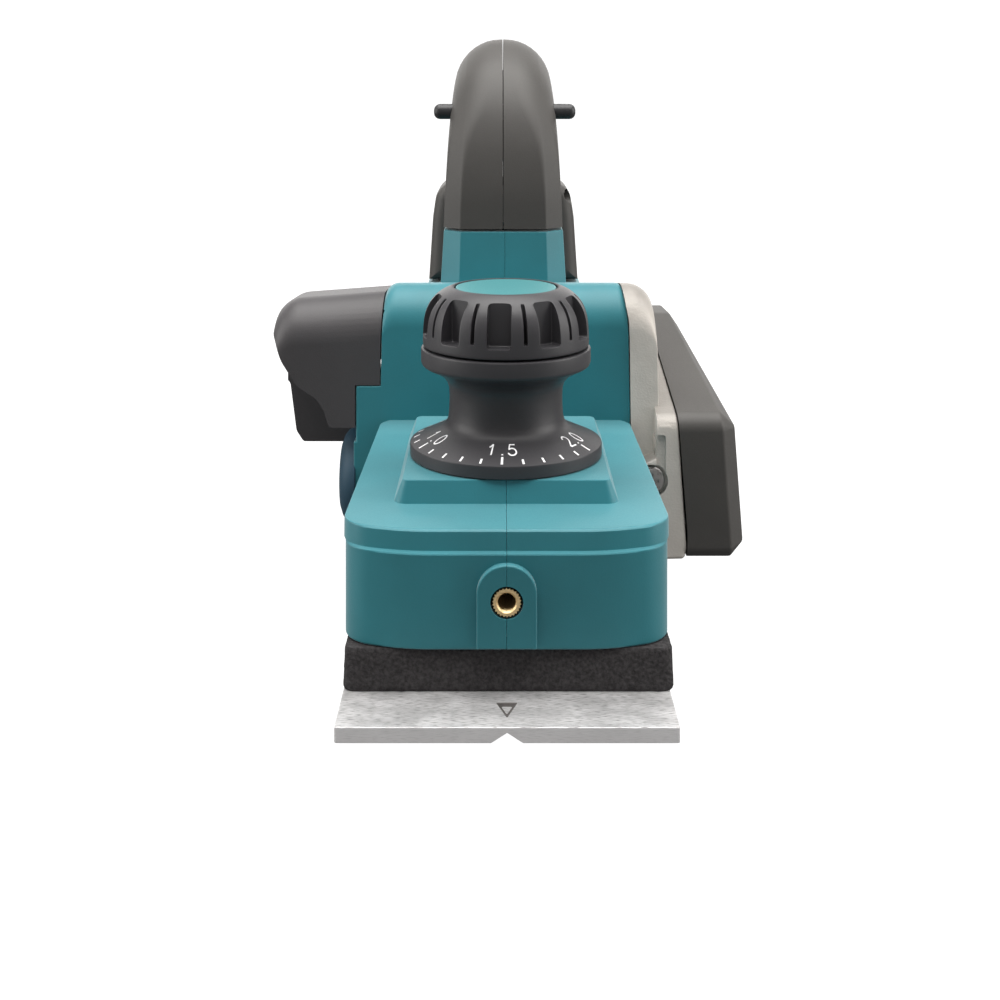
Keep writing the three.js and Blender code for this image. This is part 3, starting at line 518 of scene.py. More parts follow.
def body_side(front_y=-15, bottom_z=16.5, drop=0.0):
    """The body from the side. `drop` lowers its sloping top."""
    front_top, rear_y = 91.7 - drop, 100
    return [
        (front_y, bottom_z, 0.3),
        (rear_y, bottom_z, 0.3),
        (rear_y, front_top - TOP_FALL * (rear_y + 15), 4),
        (front_y, front_top, 13),
    ]


def draft(x, y, z):
    """The body's flanks lean in above the nose."""
    return (x * (1 - FLANK_LEAN * max(0, z - NOSE_TOP)), y, z)


def body_plate(name, side, x0, x1, round_lo, round_hi):
    """A plate across X whose upper edges are rounded. `side` gives its outline for a drop of the top."""
    stations = [(x0 + depth, drop) for depth, drop in quarter(round_lo, 8)]
    stations += [(x1 - depth, drop) for depth, drop in reversed(quarter(round_hi, 8))]
    rings = []
    for i, (x, drop) in enumerate(stations):
        inset = 0.35 if i in (0, len(stations) - 1) else 0.0
        rings.append([draft(x, y, z) for y, z in outline(side(drop), inset, 12)])
    return loft(name, rings)


def nose_ring(z, inset=0.0, tuck=0.0, rear_y=-12.5, rear_corner=8):
    """The nose's outline from above. `tuck` moves its front back."""
    points = [
        (-41.2, rear_y, rear_corner),
        (-42.8, -121.4 + tuck, 11),
        (-26, -126.8 + tuck, 45),
        (26, -126.8 + tuck, 45),
        (42.8, -121.4 + tuck, 11),
        (41.2, rear_y, rear_corner),
    ]
    return [(x, y, z) for x, y in outline(points, inset, 8)]


def nose():
    """Each step is a height, an inset all round and a tuck of the front: the upper band leans back."""
    steps = [(16.2, 1.2, -0.7), (16.4, 0.9, -0.7), (16.8, 0.7, -0.7), (40.1, 0.7, -0.7), (40.4, 0.7, -0.5)]
    steps += [(40.6, 0.4, 0.4), (40.8, 0.1, 1.2), (45.4, 0.1, 1.8), (45.8, 0.25, 2), (NOSE_TOP, 0.7, 2.1)]
    return loft("housing", [nose_ring(z, inset, tuck) for z, inset, tuck in steps])


def pedestal():
    top_z = 52

    def ring(z, grow, corner):
        sides = rectangle(-28.1 - grow, 28.1 + grow, -102.4 - 0.7 * grow, -33.4 + grow, corner)
        return [(x, y, z) for x, y in outline(sides, 0, 6)]

    rings = [ring(44, 2.3, 3.4), ring(46, 2.3, 3.4), ring(top_z - 0.5, 0.2, 2)]
    rings += [ring(top_z - 0.15, 0, 1.8), ring(top_z, -0.35, 1.6)]
    return loft("pedestal", rings)


def pillar():
    aside = -0.5

    def ring(z, grow, inset=0.0):
        half, flat, front, rear, deep = 20.9 + grow, 14.8 + grow / 2, 5 - grow, 38, 6
        points = [
            (-flat, front, 0.8),
            (flat, front, 0.8),
            (half, front + deep, 1.2),
            (half, rear, 3),
            (-half, rear, 3),
            (-half, front + deep, 1.2),
        ]
        return [(x + aside, y, z) for x, y in outline(points, inset, 5)]

    rings = [ring(78, 1.6), ring(90, 0.9), ring(105.7, 0), ring(106.1, 0, 0.25), ring(106.3, 0, 0.7)]
    return loft("pillar", rings)


def arch_boss():
    top, bottom = 30.8, 17.2
    points = [(-7.6, bottom, 0.3), (7.6, bottom, 0.3), (7.6, top + 7.5, 7.4), (-7.6, top + 7.5, 7.4)]
    return slab("boss", points, -129, -112, "Y", 0.5, 0, 12)


def housing():
    body = body_plate("body", lambda drop: body_side(drop=drop), -42, 42, 4.5, 3.2)
    bulge_side = [(-15, 16.5, 0.3), (30, 16.5, 0.3), (34, 55, 5), (8, 57.3, 3), (-15, 57.3, 0.5)]
    bulge = slab("bulge", bulge_side, -49.6, -38, "X", 0.7, 0)
    skirt_side = [(-15, 16.5, 0.3), (30, 16.5, 0.3), (30, 38.7, 1), (-15, 38.7, 0.3)]
    join(bulge, slab("skirt", skirt_side, -50.3, -38, "X", 0.4, 0))
    tail = slab("tail", rectangle(-33, 33, 90, 150, 5), 14, 71, "Z", 0, 2.4)
    foot = slab("foot", rectangle(-41.5, 41.5, 28, 100, 1), 8.6, 18, "Z", 0.3, 0)
    rear_foot = slab("foot", rectangle(-33, 33, 90, 150, 5), 8.6, 18, "Z", 0.3, 0)
    shell = join(nose(), pedestal(), body, bulge, tail, foot, rear_foot, pillar(), arch_boss())
    inner = 41.5 - WALL
    # The room inside: nose, drum and motor, rear, pillar, and the sides where the frame and the hood fit.
    hollows = [
        loft("cutter", [nose_ring(z, WALL, 1.5, -31, 0.3) for z in (-1, 43.4)]),
        rod(25.5, -41.4, 46, "X", (0, DRUM_Z), 64),
        block(-41.4, 46, -25.5, 25.5, -1, DRUM_Z),
        block(-60, inner, -12.4, 18, 46, 82),
        block(-inner, inner, 31, 97.4, -1, 70.8),
        block(-inner, inner, 31, 84, 60, 74),
        block(-30.4, 30.4, 96, 147.4, -1, 68.4),
        block(-12.5, 12.5, 21, 34, 68, 130),
        block(41.4, 60, -23.4, 60, 0, 60),
        block(-60, -41.4, -23.4, -15.6, 0, 46),
    ]
    cut(shell, *hollows)
    # Ribs, then bosses: insert, motor bearing, parking foot, guide pins and the sole's screws.
    blocks = [
        block(-12, -9, 30, 99, 12, 73),
        block(6, 9, 30, 99, 12, 73),
        block(-6, 6, -125, -112.5, 22.9, 34.9),
        rod(13.7, -40.5, -29, "X", MOTOR_AT),
        block(15, 32.9, 104, 121, 8.6, 23),
    ]
    blocks += [rod(6, 20, 45, "Z", (side * 30, KNOB_Y)) for side in (-1, 1)]
    blocks += [rod(5, 8.6, 24, "Z", (side * 35, 60)) for side in (-1, 1)]
    join(shell, *blocks)
    bores = [
        rod(25.3, -19, 15, "X", MOTOR_AT, 64),
        rod(11, -36, 60, "X", MOTOR_AT),
        rod(14, -48.4, 60, "X", (0, DRUM_Z)),
        rod(5.6, 30, 60, "Z", (0, KNOB_Y)),
        rod(4.15, -130, -114, "Y", (0, INSERT_Z)),
        block(19, 29, 103, 147.4, 0, 20),
        rod(2.05, 16, 32, "X", (112, 12.6), 24),
    ]
    bores += [rod(3.4, 12, 38, "Z", (side * 30, KNOB_Y)) for side in (-1, 1)]
    bores += [rod(2.2, 6, 22, "Z", (side * 35, 60), 24) for side in (-1, 1)]
    for i in range(5):
        bores.append(plain(rectangle(52 + 6 * i, 55 + 6 * i, 58, 72, 1.4), -50, -36, "X"))
    cut(shell, *bores, *grip_screw_holes())
    return halves(shell, "shell_left", "shell_right", 0.12)


# ---------- the grip ----------
GRIP_SCREWS = [(14, 26, 122), (12, 96, 160), (24, 134, 107)]
GRIP_ASIDE = -0.6


def grip_screw_holes():
    holes = []
    for x, y, z in GRIP_SCREWS:
        holes.append(rod(3.9, x - 0.3, x + 30, "X", (y, z), 32))
        holes.append(rod(2.1, x - 25, x, "X", (y, z), 24))
    return holes


# Stations of the grip: outer edge (y, z), inner edge (y, z), half width, chamfer, corner radius.
GRIP_STATIONS = [
    ((5.0, 107.1), (38.0, 107.1), 20.9, 6.0, 1.0),
    ((5.6, 122.0), (37.5, 117.0), 20.3, 5.9, 1.8),
    ((8.5, 138.0), (38.0, 127.0), 19.6, 6.6, 5.0),
    ((15.0, 152.8), (41.5, 134.5), 19.1, 9.2, 13.0),
    ((26.0, 164.3), (48.0, 138.6), 18.5, 10.0, 16.0),
    ((43.0, 171.7), (56.0, 139.5), 18.1, 10.0, 17.0),
    ((62.0, 173.9), (66.0, 139.5), 17.9, 10.0, 17.0),
    ((84.0, 172.4), (78.0, 139.5), 17.9, 10.0, 17.0),
    ((105.0, 167.0), (92.0, 139.0), 17.9, 10.0, 17.0),
    ((124.0, 158.0), (103.0, 135.5), 18.2, 10.0, 16.0),
    ((139.0, 146.0), (111.5, 128.5), 18.8, 9.5, 14.0),
    ((147.5, 131.0), (117.0, 119.0), 20.0, 9.0, 12.0),
    ((150.0, 113.0), (119.0, 108.0), 22.0, 8.0, 9.0),
    ((150.0, 92.0), (119.0, 90.0), 24.5, 7.0, 6.0),
    ((150.0, 72.0), (119.0, 72.0), 26.5, 6.0, 4.0),
]


def smooth_between(values, share):
    """Catmull-Rom interpolation through a list of equal-length tuples, at share 0 to 1."""
    place = share * (len(values) - 1)
    i = min(int(place), len(values) - 2)
    t = place - i
    p1, p2 = values[i], values[i + 1]
    p0 = values[i - 1] if i else p1
    p3 = values[min(i + 2, len(values) - 1)]
    result = []
    for a, b, c, d in zip(p0, p1, p2, p3):
        result.append(b + 0.5 * t * (c - a + t * (2 * a - 5 * b + 4 * c - d + t * (3 * (b - c) + d - a))))
    return result


def grip_loop():
    flat = [(*outer, *inner, half, chamfer, corner) for outer, inner, half, chamfer, corner in GRIP_STATIONS]
    rings = []
    count = 84
    for i in range(count + 1):
        oy, oz, iy, iz, half, chamfer, corner = smooth_between(flat, i / count)
        middle = Vector((0, (oy + iy) / 2, (oz + iz) / 2))
        outward = Vector((0, oy - iy, oz - iz)) / 2
        deep = outward.length
        outward.normalize()
        points = [
            (chamfer - half, -deep, corner),
            (half - chamfer, -deep, corner),
            (half, chamfer - deep, corner),
            (half, deep - chamfer, corner),
            (half - chamfer, deep, corner),
            (chamfer - half, deep, corner),
            (-half, deep - chamfer, corner),
            (-half, chamfer - deep, corner),
        ]
        rings.append([tuple(middle + Vector((u, 0, 0)) + outward * v) for u, v in outline(points, 0, 5)])
    return loft("grip", rings)


def shoulders():
    """The wide foot of the grip above the battery; its sides lean in towards the top."""
    points = [(-31.6, 72, 0.3), (32.3, 72, 0.3), (30.6, 99, 30)]
    points += [(28.4, 113.6, 8), (-27.8, 113.6, 8), (-29.9, 99, 30)]
    return slab("shoulders", points, 117.5, 150, "Y", 5, 1.2, 8)


def lock_bar_shape(half_length, grow, name="lock"):
    points = rectangle(26 - grow, 34 + grow, 144.3 - grow, 149.8 + grow, 2.6 + grow)
    rim = 0.01 if grow else 2.2
    return slab(name, points, -half_length, half_length, "X", rim, rim, 8)


def grips():
    shell = join(grip_loop(), shoulders())
    hollows = [
        block(-12.5, 12.5, 16, 34, 105, 146),
        block(-12.5, 12.5, 32, 104, 144, 158),
        block(-12.5, 12.5, 124, 136, 70, 138),
        block(-27, 27, 123, 146, 70, 100),
        plain(rectangle(-7.6, 7.6, 38, 74, 1.5), 130, 150, "Z"),
        block(-15, 15, 140, 152, 70, 98),
    ]
    cut(shell, *hollows)
    posts = []
    for x, y, z in GRIP_SCREWS:
        posts.append(rod(4.7, -11.8, x + 0.1, "X", (y, z), 32))
    join(shell, *posts)
    notch = rod(3.4, 24.2, 40, "X", (121.5, 107.5), 32)
    cut(shell, lock_bar_shape(40, 0.4), notch, *grip_screw_holes())
    pair = halves(shell, "handle_left", "handle_right", 0.3)
    for half in pair:
        half.data.transform(Matrix.Translation((GRIP_ASIDE, 0, 0)))
    return pair


# ---------- small hardware ----------
def pan_screw(name, at, axis, sign, head_r, head_thick, shank_r, length, sides=6):
    """A screw whose head's underside is at `at` and whose head faces the sign's way along the axis."""
    order = {"X": (1, 2, 0), "Y": (0, 2, 1), "Z": (0, 1, 2)}[axis]
    centre = (at[order[0]], at[order[1]])
    w = at[order[2]]
    shank = [(0, -length), (shank_r * 0.7, -length), (shank_r, -length + 1), (shank_r, 0)]
    dome = [(head_r, 0), (head_r, head_thick * 0.55), (head_r * 0.94, head_thick * 0.8)]
    profile = [*shank, *dome, (head_r * 0.78, head_thick), (0, head_thick)]
    screw = turned(name, [(r, w + sign * h) for r, h in profile], centre, axis, 48)
    near, far = sorted((w + sign * head_thick * 0.35, w + sign * (head_thick + 1)))
    if sides == 4:
        for wide, tall in ((head_r * 0.55, 0.55), (0.55, head_r * 0.55)):
            arm = rectangle(centre[0] - wide, centre[0] + wide, centre[1] - tall, centre[1] + tall)
            cut(screw, plain(arm, near, far, axis))
    else:
        cut(screw, rod(head_r * 0.48, near, far, axis, centre, sides))
    return soften(screw, 0.12, 40, 1)


def knurled_insert():
    """A brass bush with a knurled rim and a thread inside."""
    front, length, outer, bore = -128.7, 12.4, 3.95, 2.4
    teeth, pitch = 26, 0.8
    count = teeth * 4
    rings = []
    profile = [(bore + 0.25, 0), (outer - 0.35, 0), (outer, 0.35)]
    profile += [(outer, length - 0.4), (outer - 0.4, length), (bore + 0.25, length)]
    turns = int((length - 0.8) / pitch)
    for k in range(turns, -1, -1):
        depth = 0.4 + k * pitch
        profile += [(bore + 0.28, depth + 0.3), (bore - 0.12, depth)]
    for radius, depth in profile:
        ring = []
        for k in range(count):
            angle = 2 * math.pi * k / count
            notch = 0.3 if radius > outer - 0.4 and k % 4 < 2 else 0
            r = radius - notch
            ring.append((r * math.cos(angle), front + depth, INSERT_Z + r * math.sin(angle)))
        rings.append(ring)
    vertices = [point for ring in rings for point in ring]
    faces = []
    for i in range(len(rings)):
        faces += band(count, i * count, (i + 1) % len(rings) * count)
    return new_piece("insert", vertices, faces)


# ---------- side frame and belt cover ----------
UPRIGHT_Z = 12
LEAN_UP = 0.078
LEAN_REAR = 0.085
COVER_X0 = 59.3
COVER_X1 = 78
RIM_X = 59
PLATE_X = 50
COVER_SCREWS = [(-15, 38), (24, 9.6), (81.5, 47)]
FRAME_SCREW_X = 47.6
FRAME_SCREW_Z = 28.5


def cover_side(grow=0.0):
    points = [(-25, 3.2, 4), (26, 3.2, 14), (91, 36, 13), (89, 68, 11), (62, 68, 16), (-25, 49.3, 6)]
    return inset_points(points, -grow) if grow else points


def lean_up(x, y, z):
    return (x - LEAN_UP * max(0, z - UPRIGHT_Z), y, z)


def lean_rim(x, y, z):
    """Leans the outside of the frame's rim, and leaves its foot on the plate upright."""
    share = min(1, max(0, (x - PLATE_X + 0.5) / (RIM_X - PLATE_X - 0.5)))
    return (x - share * LEAN_UP * max(0, z - UPRIGHT_Z), y, z)


def lean_rear(x, y, z):
    out = max(0, x - COVER_X0) / (COVER_X1 - COVER_X0)
    return lean_up(x - out * LEAN_REAR * max(0, y + 20), y, z)


def cover_screw_x(y, z):
    return lean_rear(COVER_X1, y, z)[0] - 4


def side_frame():
    plate = body_plate("plate", lambda drop: body_side(-16, 2.6, drop), 36, 51.6, 0, 8.5)
    cut(plate, body_plate("cutter", lambda drop: body_side(-16.6, -5, drop - 0.4), -60, 42.4, 0.3, 3.4))
    rim = slab("rim", cover_side(-0.5), PLATE_X - 0.5, RIM_X, "X", 0, 0.6, 8, lean_rim)
    side = RIM_X - 0.3
    front = [
        (42.4, 2.6, 1.5),
        (side, 3, 1.5),
        (side, 15, 2),
        (side - 2.6, 47, 4),
        (49.5, 47, 1),
        (49.5, 36, 1),
        (42.4, 33, 1),
    ]
    lump = slab("lump", front, -24.5, -4, "Y", 1.2, 0, 6)
    frame_body = join(plate, rim, lump)
    chamber = inset_points(cover_side(), 3.5)
    x, z, r = FRAME_SCREW_X, FRAME_SCREW_Z, 4.7
    cut(
        frame_body,
        plain(chamber, PLATE_X, RIM_X + 1, "X"),
        block(PLATE_X, RIM_X + 1, -18, 1, 8, 40),
        rod(14, 40, PLATE_X + 3, "X", (0, DRUM_Z), 64),
        rod(11, 40, PLATE_X + 3, "X", MOTOR_AT, 64),
        rod(r + 0.7, -27, -22.2, "Y", (x, z), 48),
        plain(rectangle(x + 1.6, x + r, z, 43.5, 1), -27, -23.3, "Y"),
        rod(2.8, -40, -12, "Y", (x, z), 32),
    )
    for y, z in COVER_SCREWS:
        join(frame_body, rod(4.2, PLATE_X - 1, 54, "X", (y, z), 32))
        cut(frame_body, rod(2.1, 52.3, RIM_X + 1, "X", (y, z), 24))
    return soften(frame_body, 0.35, 40, 2)


def belt_cover():
    chamfer = [(0, 5.2), (0.12, 4.75), (0.5, 4.25), (4.0, 0.6), (4.5, 0.15), (5.2, 0)]
    outer = slab("cover", cover_side(), 46, COVER_X1, "X", 0, chamfer, 8, lean_rear)
    cut(outer, slab("cavity", inset_points(cover_side(), 2.2), 44, COVER_X1 - 4.4, "X", 0, 1, 6, lean_rear))
    for y, z in COVER_SCREWS:
        join(outer, rod(4.6, COVER_X0 - 3, cover_screw_x(y, z) + 2.2, "X", (y, z), 32))
    cut(outer, cutter_below_seam())
    for y, z in COVER_SCREWS:
        x = cover_screw_x(y, z)
        cut(outer, rod(3.3, x - 0.3, x + 12, "X", (y, z), 32), rod(2.1, 40, x, "X", (y, z), 24))
    return outer


def cutter_below_seam():
    """Everything between the tool's middle and the leaning joint of the cover."""
    rings = []
    for z in (-9, UPRIGHT_Z, 90):
        x = COVER_X0 - LEAN_UP * max(0, z - UPRIGHT_Z)
        rings.append([(20, -60, z), (x, -60, z), (x, 120, z), (20, 120, z)])
    return loft("cutter", rings)


# ---------- chip hood ----------
HOOD_END_X = -78.3
HOOD_FRONT_Y = -15
HOOD_REAR_Y = 28
HOOD_WALL = 2.4


def hood_shape(wall):
    """The hood's outside, or its inside when `wall` is the wall's thickness. Its far end is rounded."""
    round_end, round_front = 9 - wall, 2.5
    top, fall, near_x, bottom = 87.7 - wall, 0.074, -36, 28 if wall == 0 else 10

    def ring(x, drop, tuck):
        z1 = top - drop + fall * (x + 40)
        y0, y1 = HOOD_FRONT_Y + wall + tuck, HOOD_REAR_Y - wall - tuck
        points = [(y0, bottom, 0.5), (y1, bottom, 3), (y1, z1 - 3, 8), (y0, z1, 14 - wall)]
        return [(x, y, z) for y, z in outline(points, 0, 12)]

    rings = []
    for (depth, drop), (_, tuck) in zip(quarter(round_end, 12), quarter(round_front, 12)):
        rings.append(ring(HOOD_END_X + wall + depth, drop, tuck))
    rings.append(ring(near_x, 0, 0))
    return loft("hood", rings)


def chip_hood():
    """The hood, open below and at the front of its low end."""
    mouth_z = 43.4
    mouth = [
        (-100, 5, 0.3),
        (-30, 5, 0.3),
        (-30, mouth_z, 0.3),
        (-58.6, mouth_z, 1.6),
        (-60.2, 49, 6),
        (-62.7, 52.9, 5),
        (-69.3, 57.3, 9),
        (-74.7, 65.6, 14),
        (HOOD_END_X, 76, 10),
        (-100, 80, 0.3),
    ]
    low_end = [
        (-100, 0, 0.3),
        (-60, 0, 0.3),
        (-60, 28, 0.3),
        (-72.6, 28, 2),
        (-75.2, 32, 4),
        (-77.5, 50, 3),
        (-100, 60, 0.3),
    ]
    beside_body = body_plate("cutter", lambda drop: body_side(-15.4, 10, drop - 0.4), -42.4, 60, 4.6, 1)
    hood = hood_shape(0)
    return soften(
        cut(
            hood,
            hood_shape(HOOD_WALL),
            plain_fine(mouth, -60, HOOD_REAR_Y - HOOD_WALL),
            plain_fine(low_end, -60, 60),
            block(-49.9, 0, -60, 60, 0, 57.6),
            beside_body,
        ),
        0.4,
    )


def plain_fine(points, lo, hi):
    return slab("cutter", points, lo, hi, "Y", [(0, 0)], [(0, 0)], 12)


# ---------- depth knob ----------
KNOB_BORE = 5.3
DIAL_RADIUS = 27
DIAL_SLOPE = 0.46
DIAL_EDGE_Z = 55.95
DIVISION = 12.86  # degrees of dial for 0.1 mm of depth
DIAL_OFFSET = -2.6  # degrees from the front to the numeral 1.5


def dial_height(radius):
    """Height of the dial's sloping face at a radius."""
    return DIAL_EDGE_Z + (DIAL_RADIUS - radius) * DIAL_SLOPE


def dial():
    """The dial with its edge, the waisted neck and the collar, as one profile from the bottom up."""
    profile = [
        (KNOB_BORE, 52.25), (27.35, 52.25), (27.6, 52.45), (27.6, 55.4), (27.45, 55.8), (27.1, DIAL_EDGE_Z),
        (24, dial_height(24)), (21, dial_height(21)), (19.2, dial_height(19.2)), (18.0, 60.3), (17.0, 61.5),
        (16.5, 63.2), (16.3, 66), (16.25, 69), (16.4, 71.4), (17.0, 73.2), (18.4, 74.9), (21.0, 76.5),
        (23.4, 77.6), (24.1, 78.1), (24.45, 78.9), (24.45, 82.4), (24.25, 82.8), (23.8, 83.0),
        (KNOB_BORE, 83.0),
    ]
    return turned_ring("dial", profile, 144)


def turned_ring(name, profile, facets):
    """A profile that closes on itself, turned about the knob's axis."""
    vertices = []
    for radius, height in profile:
        for k in range(facets):
            angle = 2 * math.pi * k / facets
            vertices.append((radius * math.cos(angle), KNOB_Y + radius * math.sin(angle), height))
    faces = []
    for i in range(len(profile)):
        faces += band(facets, i * facets, (i + 1) % len(profile) * facets)
    return new_piece(name, vertices, faces)


def grip_cutter(step, half, low_z, high_z, floor, corner):
    """A radial cutter for the grip, flat-bottomed at the radius `floor`. `step` counts pockets round."""
    points = [(-half, low_z, corner / 2), (half, low_z, corner / 2)]
    points += [(half, high_z, corner), (-half, high_z, corner)]
    cutter = slab("cutter", points, KNOB_Y - 30, KNOB_Y - floor, "Y", 0, min(0.4, half / 2), 6)
    turn = Matrix.Rotation(2 * math.pi * step / KNOB_RIBS - math.radians(5), 4, "Z")
    cutter.data.transform(Matrix.Translation((0, KNOB_Y, 0)) @ turn @ Matrix.Translation((0, -KNOB_Y, 0)))
    return cutter


def ribbed_grip():
    wall = [(23.6, 83.6), (23.9, 83.9), (23.9, 86), (23.7, 90), (23.1, 93), (21.9, 95.6), (20.1, 97.7)]
    wall += [(18.2, 99.0), (16.2, 99.9), (15.2, 100.1)]
    fine = [tuple(smooth_between(wall, i / 36)) for i in range(37)]
    cap_seat = [(14.95, 100.0), (14.95, 98.2), (KNOB_BORE, 98.2), (KNOB_BORE, 83.6)]
    grip = turned_ring("grip", fine + cap_seat, 180)
    for k in range(KNOB_RIBS):
        pocket = grip_cutter(k, 3.35, 86.4, 98.7, 19.2, 1.7)
        slot = grip_cutter(k + 0.5, 0.55, 87.4, 99.3, 19.6, 0.5)
        cut(grip, pocket, slot)
    return soften(grip, 0.22, 35, 2)


def knob_cap():
    profile = [(0, 98.5), (14.3, 98.5), (14.6, 98.7), (14.6, 99.6), (14.4, 99.9)]
    profile += [(14.0, 100.0), (8, 100.15), (0, 100.2)]
    return turned("cap", profile, (0, KNOB_Y), "Z", 96)


def on_dial(steps, across, radius, rise):
    """A place on the dial's face: `steps` divisions from the numeral 1.5, then `across` along the circle."""
    middle = 23.5
    angle = -math.pi / 2 + math.radians(DIAL_OFFSET + DIVISION * steps) + across / middle
    return (radius * math.cos(angle), KNOB_Y + radius * math.sin(angle), dial_height(radius) + rise)


def ribbon(steps, path, half):
    """A printed line through places (across, radius) on the dial, as vertices and faces."""
    vertices, faces = [], []
    last = len(path) - 1
    for i, (u, v) in enumerate(path):
        before, after = Vector(path[max(i - 1, 0)]), Vector(path[min(i + 1, last)])
        along = (after - before).normalized()
        side = Vector((-along.y, along.x)) * half
        for sign in (-1, 1):
            for rise in (-0.15, 0.05):
                vertices.append(on_dial(steps, u + sign * side.x, v + sign * side.y, rise))
    for i in range(last):
        a, b = 4 * i, 4 * (i + 1)
        faces += [(a, a + 1, b + 1, b), (a + 2, b + 2, b + 3, a + 3)]
        faces += [(a + 1, a + 3, b + 3, b + 1), (a, b, b + 2, a + 2)]
    faces += [(0, 2, 3, 1), (4 * last, 4 * last + 1, 4 * last + 3, 4 * last + 2)]
    return vertices, faces


def print_on_dial(name, lines):
    """One piece from lines of (steps, path, half width)."""
    vertices, faces = [], []
    for steps, path, half in lines:
        more, their_faces = ribbon(steps, path, half)
        base = len(vertices)
        vertices += more
        faces += [tuple(base + k for k in face) for face in their_faces]
    return new_piece(name, vertices, faces)


def dial_ticks():
    """A tick for each 0.1 mm of depth, longer at the numerals."""
    lines = []
    for steps in range(-15, 6):
        inner = 23.9 if steps % 5 == 0 else 24.9
        lines.append((steps, [(0, inner), (0, 26.6)], 0.27))
    return print_on_dial("ticks", lines)


DIGIT_TALL = 3.9
STROKE = 0.21


def arc(centre, across, tall, first, last, count=14):
    """Points on an ellipse between two angles in degrees, anticlockwise from the right."""
    points = []
    for k in range(count + 1):
        angle = math.radians(first + (last - first) * k / count)
        points.append((centre[0] + across * math.cos(angle), centre[1] + tall * math.sin(angle)))
    return points


def digit_path(digit):
    """A digit's stroke from its lower left corner, 1 high and about 0.65 wide."""
    if digit == "0":
        return arc((0.33, 0.5), 0.31, 0.5, 0, 360, 28)
    if digit == "1":
        return [(0.0, 0.72), (0.1, 0.78), (0.26, 1.0), (0.27, 0.99), (0.27, 0.0)]
    if digit == "2":
        bow = arc((0.32, 0.72), 0.3, 0.28, 170, -30)
        return bow + [(0.5, 0.48), (0.03, 0.03), (0.03, 0.0), (0.66, 0.0)]
    flag = [(0.58, 1.0), (0.14, 1.0), (0.08, 0.5), (0.12, 0.54)]
    return flag + arc((0.31, 0.32), 0.31, 0.33, 120, -160, 18)


def dial_numeral(text, steps):
    """A numeral on the dial, its top towards the axis, centred on its tick."""
    baseline = 23.2
    wide, dot_wide = 0.98, 0.52
    places = [(character, wide if character != "." else dot_wide) for character in text]
    total = sum(width for _, width in places) - 0.3
    start = -total / 2
    lines = []
    for character, width in places:
        if character == ".":
            path = [(start + 0.1, 0.0), (start + 0.1, 0.09)]
        else:
            path = [(start + u, v) for u, v in digit_path(character)]
        placed = [(DIGIT_TALL * u, baseline - DIGIT_TALL * v) for u, v in path]
        lines.append((steps, placed, STROKE if character != "." else STROKE * 1.15))
        start += width
    return print_on_dial("numeral", lines)


# ---------- soles, foam and springs ----------
# The engraved triangle that shows where the nose ends: its outline and the raised face inside it.
ARROW = [(0, -140.2, 0.2), (2.8, -131.6, 0.2), (-2.8, -131.6, 0.2)]
ARROW_FACE = [(0, -137.8, 0.2), (1.3, -134, 0.2), (-1.3, -134, 0.2)]


def arrow_shadow():
    """A thin darker sheet in the bottom of the engraved outline: painted shade in the groove."""
    floor = SOLE_BOTTOM + SOLE_THICK - ENGRAVED
    return cut(plain(ARROW, floor, floor + 0.14, "Z"), plain(ARROW_FACE, floor - 1, floor + 1, "Z"))


def front_sole():
    z0, top = SOLE_BOTTOM, SOLE_BOTTOM + SOLE_THICK
    plate = slab("sole", rectangle(-41.5, 41.5, -145, -27, 0.6), z0, top, "Z", 0.15, 0.25)
    join(plate, rod(10, z0 + 1, 26, "Z", (0, KNOB_Y)))
    half = 3.9
    groove = [(-half, z0 - 0.4, 0.1), (half, z0 - 0.4, 0.1), (half, z0, 0.1)]
    groove += [(0, z0 + 2.5, 0.3), (-half, z0, 0.1)]
    engraved = cut(plain(ARROW, top - ENGRAVED, top + 1, "Z"), plain(ARROW_FACE, 0, top - 0.08, "Z"))
    cut(
        plate,
        rod(5.5, z0 + 8, 30, "Z", (0, KNOB_Y)),
        plain(groove, -146, KNOB_Y - 20, "Y"),
        engraved,
        *[rod(3.3, z0 + 1.2, 10, "Z", (side * 30, KNOB_Y), 32) for side in (-1, 1)],
    )
    return plate


def rear_sole():
    points = [(-41.5, 27, 0.4), (41.5, 27, 0.4), (41.5, 150, 8), (-41.5, 150, 8)]
    plate = slab("sole", points, 0, 8.2, "Z", 0.2, 0.4)
    cut(plate, block(-33.5, 33.5, 41, 96, 4.5, 10), block(19, 29, 104, 151, -1, 10))
    for side in (-1, 1):
        join(plate, rod(5, 2, 8.2, "Z", (side * 35, 60), 32))
        cut(plate, rod(4, -1, 3, "Z", (side * 35, 60), 32), rod(2.2, 0, 10, "Z", (side * 35, 60), 24))
    return plate


